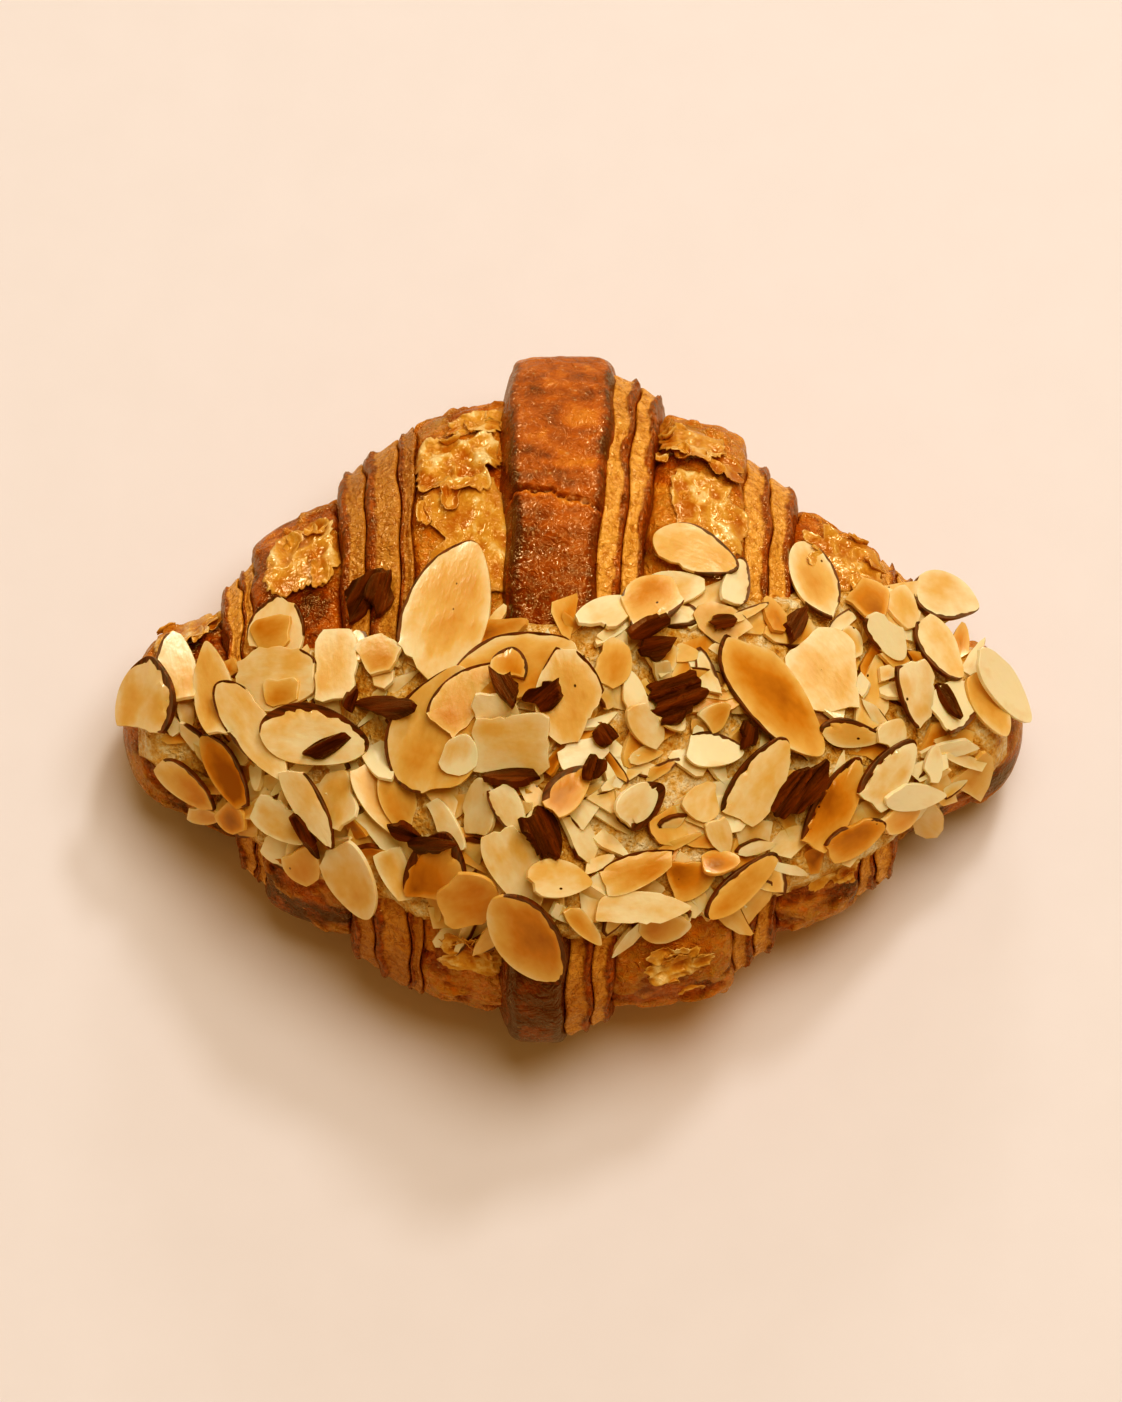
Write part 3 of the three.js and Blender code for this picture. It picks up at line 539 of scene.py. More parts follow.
class Roll:
    """The outer shape of the dough, in millimetres. A turn is 0 at the top and grows towards the front."""

    def __init__(self, sizes):
        self.half = mm(sizes.length) / 2
        self.belly_width = mm(sizes.belly_width)
        self.belly_height = mm(sizes.belly_height)
        self.tip_height = mm(sizes.tip_height)
        self.taper_length = mm(sizes.taper_length)
        self.cap_length = mm(sizes.cap_length)
        self.base_squash = mm(sizes.base_squash)
        self.tip_lift = mm(sizes.tip_lift)
        self.wall = mm(sizes.step_wall)
        self.lump_height = mm(sizes.lump)
        table = np.array(WRAPS)
        self.starts = np.append(table[:, 0], self.half)
        self.leans = np.append(table[:, 1], 0)
        self.prouds, self.swells, self.kinds, self.browns, self.films = table[:, 2:].T
        self.last = len(WRAPS) - 1

    def edge(self, wrap, turn):
        """Where a wrap starts along the roll, with a wandering line."""
        inside = (wrap > 0) & (wrap <= self.last)
        wander = np.sin(3 * turn + 1.7 * wrap) + np.sin(7 * turn + 2.9 * wrap) + np.sin(17 * turn + wrap)
        return self.starts[wrap] + self.leans[wrap] * np.sin(turn) + inside * EDGE_WANDER * wander / 2

    def cap(self, x):
        """Rounding of the tips: 1 along the roll and 0 at its ends."""
        past = np.maximum(0, np.abs(x) - (self.half - self.cap_length)) / self.cap_length
        return np.sqrt(np.maximum(0, 1 - past**2))

    def lump(self, x, turn):
        """Broad unevenness of the dough."""
        waves = np.sin(x / 7.1 + 2 * turn) + np.sin(x / 4.3 - 3 * turn + 1) + np.sin(x / 11 + 5 * turn + 2)
        return self.lump_height * self.cap(x) * waves / 3

    def section(self, x, taper_x, turn, grow):
        """A point on the section of the roll, which tapers to the tips and is flat below."""
        limit = self.half - self.cap_length
        bell = np.cos(np.pi * np.clip(taper_x, -limit, limit) / self.taper_length)
        cap = self.cap(x)
        half_width = self.belly_width / 2 * bell + grow
        top = self.tip_height + (self.belly_height - self.tip_height) * bell + grow
        axis = AXIS_SHARE * top
        under = self.tip_lift * (taper_x / self.half) ** 4 - self.base_squash - grow
        reach = np.where(np.cos(turn) > 0, top - axis, axis - under)
        y = -half_width * cap * np.sin(turn)
        z = np.maximum(0, axis + reach * cap * np.cos(turn))
        return np.stack(np.broadcast_arrays(x, y, z), axis=-1)

    def point(self, wrap, share, turn, grow=0.0, softening=1.0):
        """A point on a wrap, a share of the way across it; a lower softening evens out the steps."""
        start = self.edge(wrap, turn) + np.where(wrap > 0, self.wall / 2, 0)
        end = self.edge(wrap + 1, turn) - np.where(wrap < self.last, self.wall / 2, 0)
        x = mix(start, end, share)
        taper_x = mix(x, (start + end) / 2, STEP_SHARE * softening)
        swell = self.swells[wrap] * (1 - (2 * np.clip(share, 0, 1) - 1) ** 4)
        rise = (self.prouds[wrap] + swell) * softening
        return self.section(x, taper_x, turn, rise + self.lump(x, turn) + grow)

    def wrap_at(self, x, turn):
        """The wrap at a place, and the share of the way across it."""
        wrap = np.zeros(np.broadcast(x, turn).shape, dtype=int)
        for later in range(1, self.last + 1):
            wrap += self.edge(np.full(wrap.shape, later), turn) <= x
        start = self.edge(wrap, turn)
        return wrap, (x - start) / (self.edge(wrap + 1, turn) - start)

    def turn_at(self, across, up, grow, softening, wrap=None):
        """The turn at which the dough lies over a place on the slope, found by halving."""
        x = np.clip(across, -self.half, self.half)
        back = np.full(np.shape(x), SLOPE - np.pi / 2)
        front = np.full(np.shape(x), SLOPE + np.pi / 2)
        for _ in range(HALVINGS):
            middle = (back + front) / 2
            place = self.over(x, middle, grow, softening, wrap)
            beyond = place @ SLOPE_UP > up
            back = np.where(beyond, middle, back)
            front = np.where(beyond, front, middle)
        return (back + front) / 2

    def over(self, x, turn, grow, softening, wrap=None):
        """A point of the dough from the middle of the slope; a wrap that is given runs on past its edges."""
        if wrap is None:
            wrap, share = self.wrap_at(x, turn)
        else:
            wrap = np.full(np.shape(x), wrap)
            start = self.edge(wrap, turn)
            share = (x - start) / (self.edge(wrap + 1, turn) - start)
        return self.point(wrap, share, turn, grow, softening) - np.array((0, 0, SLOPE_ZERO_Z))

    def reach_up(self, x):
        """The lowest and the highest place up the slope that the dough reaches."""
        turns = np.linspace(SLOPE - np.pi / 2, SLOPE + np.pi / 2, 181)
        places = self.over(*np.meshgrid(x, turns, indexing="ij"), 0, 1) @ SLOPE_UP
        return places.min(axis=1), places.max(axis=1)

    def height(self, across, up, grow=0.0, softening=1.0):
        """How far the dough stands out from the slope."""
        x = np.clip(across, -self.half, self.half)
        turn = self.turn_at(across, up, grow, softening)
        return self.over(x, turn, grow, softening) @ SLOPE_OUT


def from_slope(across, up, out):
    """Places on the slope as points in the row's frame, in millimetres."""
    across, up, out = (np.asarray(v, dtype=float)[..., None] for v in (across, up, out))
    return across * SLOPE_ACROSS + up * SLOPE_UP + out * SLOPE_OUT + np.array((0, 0, SLOPE_ZERO_Z))


def cream_back(x):
    """Place up the slope of the cream's back edge."""
    return (CREAM_BACK["at"] + CREAM_BACK["rise"] * x) * (1 - (np.abs(x) / CREAM_BACK["end"]) ** 6)


def cream_front(x):
    """Place up the slope of the cream's front edge."""
    return CREAM_FRONT["at"] * np.maximum(0, 1 - (x / CREAM_FRONT["end"]) ** 2)


def flake_plane(flake, across, up):
    """Places on the slope as distances along and across a flake from its middle."""
    dx, dy = across - flake["across"], up - flake["up"]
    cos, sin = math.cos(flake["heading"]), math.sin(flake["heading"])
    return dx * cos + dy * sin, dy * cos - dx * sin


def on_flake(flake, along, aside):
    """Which points of a flake's plane lie on it and haven't broken off."""
    whole = (2 * along / flake["length"]) ** 2 + (2 * aside / flake["width"]) ** 2 <= 1
    for way, reach in flake["cuts"]:
        whole = whole & (along * math.cos(way) + aside * math.sin(way) <= reach)
    return whole


def flake_of(across, up, degrees, long, wide, snapped, toast=0.0, skin_way=0.0, skin_wide=0.0, cuts=()):
    """One flake; its breaks are kept as directions in its own plane and distances from its middle."""
    broken = [(math.pi, long * (0.5 - snapped))] if snapped else []
    return {
        "across": across,
        "up": up,
        "heading": math.radians(degrees),
        "length": long,
        "width": wide,
        "toast": toast,
        "skin_way": math.radians(skin_way),
        "skin_wide": skin_wide,
        "cuts": broken + [(math.radians(way - degrees), reach) for way, reach in cuts],
        "thick": PILE_STEP,
    }


class Topping:
    """The height of what lies on the slope so far, on a square grid, and the flakes let down on it."""

    def __init__(self, roll, sizes):
        columns = int(round(2 * MAP_HALF_X / CELL)) + 1
        rows = int(round(2 * MAP_HALF_UP / CELL)) + 1
        self.across, self.up = np.meshgrid(
            np.arange(columns) * CELL - MAP_HALF_X, np.arange(rows) * CELL - MAP_HALF_UP
        )
        self.dough = roll.height(self.across, self.up)
        self.cream = self.cream_height(roll, mm(sizes.cream_thickness))
        self.height = self.cream.copy()

    def cream_share(self):
        """How far each place is from the cream's front edge to its back edge, and if it is on the cream."""
        back, front = cream_back(self.across), cream_front(self.across)
        share = (self.up - front) / np.maximum(back - front, 0.01)
        return share, (share > 0) & (share < 1) & (np.abs(self.across) < CREAM_REACH)

    def cream_height(self, roll, thickness):
        """Height of the dough with the cream on it, which bridges the grooves and thins out at its edge."""
        share, on_cream = self.cream_share()
        shift = int(round(CREAM_BRIDGE / CELL))
        spread = np.maximum(np.roll(self.dough, shift, axis=1), np.roll(self.dough, -shift, axis=1))
        thin = np.maximum(self.dough, spread) + CREAM_EDGE
        thick = roll.height(self.across, self.up, thickness, CREAM_SOFTENING)
        fullness = np.sqrt(np.maximum(0, 1 - (2 * np.clip(share, 0, 1) - 1) ** 6))
        return np.where(on_cream, np.maximum(thin, mix(thin, thick, fullness)), self.dough)

    def sample(self, field, across, up):
        """The value of a map between its squares."""
        column = np.clip((across + MAP_HALF_X) / CELL, 0, field.shape[1] - 1.001)
        row = np.clip((up + MAP_HALF_UP) / CELL, 0, field.shape[0] - 1.001)
        i, j = np.floor(row).astype(int), np.floor(column).astype(int)
        lower = mix(field[i, j], field[i, j + 1], column - j)
        upper = mix(field[i + 1, j], field[i + 1, j + 1], column - j)
        return mix(lower, upper, row - i)

    def rest(self, flake, tilt, sink, ceiling):
        """Lets a flake down on the plane that fits best, pressed in by sink and kept under a ceiling."""
        a, b = np.meshgrid(PROBES * flake["length"] / 2, PROBES * flake["width"] / 2, indexing="ij")
        inside = on_flake(flake, a, b)
        along, aside = a[inside], b[inside]
        turn = flake["heading"]
        x = flake["across"] + along * np.cos(turn) - aside * np.sin(turn)
        y = flake["up"] + along * np.sin(turn) + aside * np.cos(turn)
        height = self.sample(self.height, x, y)
        arms = np.stack((along, aside, np.ones_like(along)), axis=-1)
        fit = np.linalg.lstsq(arms, height, rcond=None)[0]
        flake["length_slope"], flake["width_slope"] = np.clip(fit[:2] + tilt, -STEEPEST, STEEPEST)
        lean = flake["length_slope"] * along + flake["width_slope"] * aside
        highest = np.mean(self.sample(self.cream, x, y) - lean) + ceiling
        flake["out"] = min(np.max(height - lean) - sink, highest)
        self.raise_under(flake)

    def raise_under(self, flake):
        """Raises the pile to the top of a flake."""
        along, aside = flake_plane(flake, self.across, self.up)
        face = flake["out"] + flake["length_slope"] * along + flake["width_slope"] * aside + flake["thick"]
        self.height = np.where(on_flake(flake, along, aside), np.maximum(self.height, face), self.height)


def random_cuts(draw, number, long, wide, least=0.3, most=0.8):
    """Straight breaks at random directions in degrees, a share of the way from the middle to the edge."""
    cuts = []
    for _ in range(number):
        way = draw(0, 360)
        reach = math.hypot(long / 2 * math.cos(math.radians(way)), wide / 2 * math.sin(math.radians(way)))
        cuts.append((way, reach * draw(least, most)))
    return cuts


def toast_draw(draw):
    """How toasted a flake is: most are pale, some are well toasted."""
    return draw(0, 0.3) if draw() < 0.65 else draw(0.3, 0.85)


def spread_places(draw, number, tries):
    """Places spread evenly over the cream: of several draws the one furthest from its neighbours is taken."""
    places = []
    while len(places) < number:
        best, best_room = None, -1
        for _ in range(tries):
            across = draw(-CREAM_REACH + TIP_MARGIN, CREAM_REACH - TIP_MARGIN)
            up = draw(cream_front(across) + EDGE_MARGIN, cream_back(across) - EDGE_MARGIN)
            room = min((math.hypot(p[0] - across, p[1] - up) for p in places), default=1000)
            if room > best_room:
                best, best_room = (across, up), room
        places.append(best)
        yield best


def broken_flakes(draw, number, longs, wides, cut_counts, tries):
    """Broken flakes and shards tucked between and under the whole ones."""
    flakes = []
    for across, up in spread_places(draw, number, tries):
        degrees = FAN_DEGREES * math.tanh(across / FAN_WIDTH) + draw(-90, 90)
        long = draw(*longs)
        wide = min(long * 0.8, draw(*wides))
        skin = draw(0.15, 0.9) if draw() < 0.35 else 0
        cuts = random_cuts(draw, int(draw(*cut_counts)), long, wide, 0.25, 0.7)
        cuts = [(way + degrees, reach) for way, reach in cuts]
        toast = toast_draw(draw)
        flakes.append(flake_of(across, up, degrees, long, wide, 0, toast, draw(0, 360), skin, cuts))
    return flakes


def break_off(outline, way, reach):
    """The outline without what lies past a straight break; a point tells if a natural edge starts there."""
    cos, sin = math.cos(way), math.sin(way)
    kept = []
    for (a, b, natural), (next_a, next_b, _) in zip(outline, outline[1:] + outline[:1]):
        past = a * cos + b * sin - reach
        next_past = next_a * cos + next_b * sin - reach
        if past <= 0:
            kept.append((a, b, natural))
        if (past <= 0) != (next_past <= 0):
            share = past / (past - next_past)
            kept.append((mix(a, next_a, share), mix(b, next_b, share), natural if past > 0 else 0))
    return kept


def splinter(outline, draw, spacing, depth):
    """Roughens the breaks: straight stretches between points that are set in or out at random."""
    rough = []
    for (a, b, natural), (next_a, next_b, _) in zip(outline, outline[1:] + outline[:1]):
        rough.append((a, b, natural))
        steps = 1 if natural else int(math.hypot(next_a - a, next_b - b) / spacing)
        for step in range(1, steps):
            share = (step + draw(-0.35, 0.35)) / steps
            spot_a, spot_b = mix(a, next_a, share), mix(b, next_b, share)
            grow = 1 + depth * draw(-1, 1) / max(1, math.hypot(spot_a, spot_b))
            rough.append((spot_a * grow, spot_b * grow, 0))
    return rough


def jagged(draw, places, spacing, depth):
    """A broken edge: straight stretches between points that are set in or out at random."""
    knots = np.arange(-15, 15, spacing) + draw(0, spacing)
    return depth * np.interp(places, knots, [draw(-1, 1) for _ in knots])


def slice_outline(flake, draw, sides, spacing, depth):
    """Outline of a sliced almond in its own plane, and where it is natural edge and not a break."""
    turn = 2 * np.pi * (np.arange(sides) + 0.5) / sides
    ripple = 1 + 0.02 * np.sin(3 * turn + draw(0, 6)) + 0.012 * np.sin(5 * turn + draw(0, 6))
    point = 1 - draw(0, 0.3) * np.abs(np.cos(turn)) ** 3
    along = flake["length"] / 2 * np.cos(turn) * ripple
    aside = flake["width"] / 2 * np.sin(turn) * (1 - FLAKE_TAPER * np.cos(turn)) * point * ripple
    outline = [(a, b, 1) for a, b in zip(along, aside)]
    for way, reach in flake["cuts"]:
        outline = break_off(outline, way + draw(-0.1, 0.1), max(reach, 0.7))
    return np.array(splinter(outline, draw, spacing, depth)).T


class Pieces:
    """Vertices, faces and point values of many small things, gathered for one joined mesh."""

    def __init__(self, *values):
        self.points, self.faces, self.total = [], [], 0
        self.values = {name: [] for name in values}

    def add(self, points, faces, **values):
        """Adds one small thing; a point value may be one number for all of its points."""
        self.points.append(points)
        self.faces += [tuple(corner + self.total for corner in face) for face in faces]
        self.total += len(points)
        for name, value in values.items():
            self.values[name].append(np.broadcast_to(np.asarray(value, dtype=float), len(points)))


def ring_faces(rings, sides):
    """Quads between rings of points, with a fan at the first and last point."""
    faces = []
    last = 1 + (rings - 1) * sides
    end = 1 + rings * sides
    for i in range(sides):
        j = (i + 1) % sides
        faces.append((0, 1 + j, 1 + i))
        for ring in range(rings - 1):
            low = 1 + ring * sides
            faces.append((low + i, low + j, low + sides + j, low + sides + i))
        faces.append((last + i, last + j, end))
    return faces


def inset(along, aside, depth):
    """The outline drawn in towards its middle by depth."""
    reach = np.hypot(along, aside)
    share = np.maximum(0.3, 1 - depth / np.maximum(reach, 0.01))
    return along * share, aside * share


def flake_frame(flake):
    """The flake's middle, its long and wide directions over the slope, and its normal."""
    cos, sin = math.cos(flake["heading"]), math.sin(flake["heading"])
    long = cos * SLOPE_ACROSS + sin * SLOPE_UP + flake["length_slope"] * SLOPE_OUT
    wide = -sin * SLOPE_ACROSS + cos * SLOPE_UP + flake["width_slope"] * SLOPE_OUT
    normal = np.cross(long, wide)
    middle = from_slope(flake["across"], flake["up"], flake["out"])
    return middle, long, wide, normal / np.linalg.norm(normal)


def skin_edge(flake, along, aside, natural, draw):
    """How far each point of the outline is skin, and how wide the frayed skin shows on the face there."""
    way = np.arctan2(aside / flake["width"], along / flake["length"]) + flake["heading"]
    facing = np.cos(way - flake["skin_way"])
    skin = natural * smoothstep(-0.35, -0.1, facing) * (flake["skin_wide"] > 0)
    frayed = np.array([draw(0.3, 1.3) for _ in along])
    frayed = 0.6 * (frayed + np.roll(frayed, 1))
    band = max(0.35, flake["skin_wide"]) * skin * smoothstep(-0.35, 0.5, facing) * frayed
    return skin, band


def plain_rings(along, aside, low, high, skin, band):
    """Rings of a small flake from its underside to its face: outline, height and skin."""
    return [
        ((along, aside), low, skin),
        ((along, aside), high, skin),
        (inset(along, aside, 0.2 + 1.6 * band), high, 0 * skin),
    ]


def fine_rings(along, aside, low, high, skin, band):
    """Rings of a flake that stands out, with narrow bevels and a skin a little lower than the face."""
    bevel = FLAKE_BEVEL
    skin_height = high - 0.3 * band
    return [
        (inset(along, aside, bevel), low, skin),
        ((along, aside), low + bevel, skin),
        ((along, aside), high - bevel, skin),
        (inset(along, aside, bevel), high, skin),
        (inset(along, aside, bevel + band), skin_height, skin),
        (inset(along, aside, bevel + 0.1 + band), skin_height, 0 * skin),
        ((along * 0.7, aside * 0.7), high, 0 * skin),
        ((along * 0.42, aside * 0.42), high, 0 * skin),
        ((along * 0.18, aside * 0.18), high, 0 * skin),
    ]


def toasted(flake, a, b, edge, draw):
    """How toasted each point of a flake is: most round a spot of its own, least along its rim, which is partly
    a fresh pale break and partly a painted highlight on the edge.
    """
    hot_a, hot_b = draw(-0.35, 0.35) * flake["length"], draw(-0.3, 0.3) * flake["width"]
    from_hot_a = (a - hot_a) / (0.45 * flake["length"])
    from_hot_b = (b - hot_b) / (0.5 * flake["width"])
    spot = np.exp(-(from_hot_a**2) - from_hot_b**2)
    # Paler along the rim and the side walls: partly a fresh break, partly a painted highlight on the edge
    browned = (0.56 + 0.73 * spot) * (1 - 0.5 * smoothstep(0.6, 1, edge))
    return np.clip(flake["toast"] * browned + draw(-0.1, 0.1), 0, 1)


def add_flake(pieces, flake, draw, thick, fine):
    """Adds one sliced almond: a plate with sharp breaks, a little bent, its skin along the natural edge."""
    along, aside, natural = slice_outline(flake, draw, *(FINE_OUTLINE if fine else PLAIN_OUTLINE))
    skin, band = skin_edge(flake, along, aside, natural, draw)
    low, high = flake["thick"] - thick, flake["thick"]
    rings = (fine_rings if fine else plain_rings)(along, aside, low, high, skin, band)
    sides = len(along)
    a = np.concatenate([[0], *[ring[0][0] for ring in rings], [0]])
    b = np.concatenate([[0], *[ring[0][1] for ring in rings], [0]])
    z = np.concatenate([[low], *[np.broadcast_to(ring[1], sides) for ring in rings], [high]])
    skins = np.concatenate([[0], *[ring[2] for ring in rings], [0]])
    edge = np.concatenate([[1], *[np.hypot(*ring[0]) / np.hypot(along, aside) for ring in rings], [0]])
    bend, twist = draw(-0.4, 0.3), draw(-0.3, 0.3)
    z = z + bend * ((2 * a / flake["length"]) ** 2 - 0.3)
    z = z + twist * 4 * a * b / (flake["length"] * flake["width"])
    middle, long, wide, normal = flake_frame(flake)
    pieces.add(
        middle + a[:, None] * long + b[:, None] * wide + z[:, None] * normal,
        ring_faces(len(rings), sides),
        skin=skins,
        toast=toasted(flake, a, b, edge, draw),
        tone=draw(),
        grain_u=a + draw(0, GRAIN_SPREAD),
        grain_v=b + draw(0, GRAIN_SPREAD),
    )


def add_skin_piece(pieces, flake, draw):
    """Adds one torn piece of almond skin: a ridged plate with splintered ends, a little curled."""
    cuts = random_cuts(draw, 5, flake["length"], flake["width"], 0.6, 0.9)
    flake["cuts"] = [(math.radians(way), reach) for way, reach in cuts]
    along, aside, _ = slice_outline(flake, draw, *SKIN_OUTLINE)
    sides = len(along)
    at_end = smoothstep(0.3, 0.8, np.abs(2 * along / flake["length"]))
    along = along + jagged(draw, aside, 0.9, 1.2) * np.sign(along) * at_end
    a = np.concatenate([[0], *[along * scale for scale, _ in SKIN_RINGS], [0]])
    b = np.concatenate([[0], *[aside * scale for scale, _ in SKIN_RINGS], [0]])
    z = flake["thick"] * np.concatenate([[0], *[np.full(sides, height) for _, height in SKIN_RINGS], [1]])
    spot = np.stack((a * 0.12 + draw(0, 90), b, 0 * a), axis=-1)
    fold = 1 - 2.4 * np.abs(noise(spot, 1.3, 41))
    curl = draw(-0.3, 0.2) * (2 * b / flake["width"]) ** 2 * flake["width"] / 4
    curl += draw(-0.5, 0.5) * (2 * a / flake["length"]) ** 2
    middle, long, wide, normal = flake_frame(flake)
    out = z + 0.5 * fold * np.minimum(z, 1) + curl
    points = middle + a[:, None] * long + b[:, None] * wide + out[:, None] * normal
    grain = {"grain_u": a + draw(0, GRAIN_SPREAD), "grain_v": b + draw(0, GRAIN_SPREAD)}
    pieces.add(points, ring_faces(len(SKIN_RINGS), sides), tone=draw(), fold=fold, **grain)


def leaf_outline(draw, sides):
    """Ragged, nearly square outline of a loose leaf, as a share of its half size all the way round."""
    angle = 2 * np.pi * np.arange(sides) / sides
    ragged = np.array([draw(-1, 1) for _ in range(sides)])
    slow = sum(np.sin(k * angle + draw(0, 6)) / k for k in (3, 5, 8, 13))
    edge = (np.cos(angle) ** 4 + np.sin(angle) ** 4) ** -0.25 + 0.2 * slow + 0.06 * ragged
    for _ in range(4):
        gap = np.abs((angle - draw(0, 2 * np.pi) + np.pi) % (2 * np.pi) - np.pi)
        edge -= draw(0.1, 0.4) * np.clip(1 - gap / draw(0.12, 0.4), 0, 1)
    return angle, np.maximum(0.25, edge)


def crumple(spot):
    """Sharp folds, from about -1 in the valleys to 1 along the ridges."""
    broad = 1 - 2.6 * np.abs(noise(spot, 3.0, 5))
    small = 1 - 2.6 * np.abs(noise(spot, 1.4, 6))
    return 0.65 * broad + 0.35 * small


def leaf_faces(rings, sides):
    """A fan round the middle of a leaf and quads between its rings."""
    faces = [(0, 1 + i, 1 + (i + 1) % sides) for i in range(sides)]
    for ring in range(rings - 1):
        low = 1 + ring * sides
        for i in range(sides):
            j = (i + 1) % sides
            faces.append((low + i, low + sides + i, low + sides + j, low + j))
    return faces


def add_leaf(pieces, roll, wrap, place, size, lift, heading, mesh, draw):
    """Adds a loose leaf of pastry that follows its wrap, crumpled and curled up along its torn edge."""
    rings, sides = mesh
    turn = float(roll.turn_at(np.array(place[0]), np.array(place[1]), 0.5, 1.0, wrap))
    angle, edge = leaf_outline(draw, sides)
    scale = np.linspace(0, 1, rings + 1)[1:, None]
    along = size[0] / 2 * np.cos(angle) * edge * scale
    aside = size[1] / 2 * np.sin(angle) * edge * scale
    x = place[0] + along * math.cos(heading) - aside * math.sin(heading)
    reach = np.hypot(*roll.point(np.array(wrap), np.array(0.5), np.array(turn))[1:] - np.array(ROLL_AXIS))
    turns = turn - (along * math.sin(heading) + aside * math.cos(heading)) / reach
    spot = np.stack((x, turns * reach, np.full(x.shape, 50 * draw())), axis=-1)
    fold = crumple(spot)
    curl = lift * scale**3 * (0.7 + 1.2 * noise(spot, 3.5, 7) + 0.6 * np.cos(angle + draw(0, 6)))
    grow = 0.9 + draw(0, 0.5) + np.maximum(-0.5, curl) + (0.2 + 0.55 * lift) * fold
    points = roll.over(x, turns, grow, 1.0, wrap) + np.array((0, 0, SLOPE_ZERO_Z))
    points = np.concatenate((points[0].mean(axis=0)[None], points.reshape(-1, 3)))
    rim = np.concatenate(([0], np.repeat(scale[:, 0], sides)))
    fold = np.concatenate((fold[0, :1], fold.ravel()))
    pieces.add(points, leaf_faces(rings, sides), rim=rim, fold=fold, tone=draw())


def crust_turns(number):
    """Turns round the roll, close together over the back, the low front and the crack."""
    fine = np.linspace(-np.pi, np.pi, 2000)
    degrees = np.degrees(fine)
    density = np.ones_like(degrees)
    for start, end, closer in CLOSE_TURNS:
        density += closer * ((degrees > start) & (degrees < end))
    total = np.cumsum(density)
    return np.interp(np.linspace(total[0], total[-1], number + 1), total, fine)


def crust_rows(roll, first, last):
    """Wrap, share, depth and shift of each row of the crust, closer together at the edges of a wrap."""
    rows = []
    for wrap in range(first, last + 1):
        width = roll.starts[wrap + 1] - roll.starts[wrap]
        steps = np.linspace(0, 1, max(LEAST_ROWS, int(round(width / ROW_STEP))))
        eased = mix(steps, 0.5 - 0.5 * np.cos(np.pi * steps), 0.5)
        tuck = STRAP_TUCK if wrap == STRAP else TUCK
        start = [] if wrap == 0 else [(wrap, 0, depth, -out) for out, depth in reversed(tuck)]
        end = [] if wrap == roll.last else [(wrap, 1, depth, out) for out, depth in tuck]
        rows += start + [(wrap, share, 0, 0) for share in eased] + end
    return np.array(rows)


def round_off(distance, radius):
    """How far a rounded edge lies below its face at a distance in from the edge."""
    within = np.clip(1 - distance / radius, 0, 1)
    return radius * (1 - np.sqrt(np.maximum(0, 1 - within**2)))


def crack_line(x):
    """Place up the slope of the crack across the strap."""
    straight = CRACK_UP - CRACK_FALL * np.maximum(0, x - CRACK_BEND)
    return straight + 0.25 * np.sin(1.3 * x) + 0.2 * np.sin(3.1 * x)


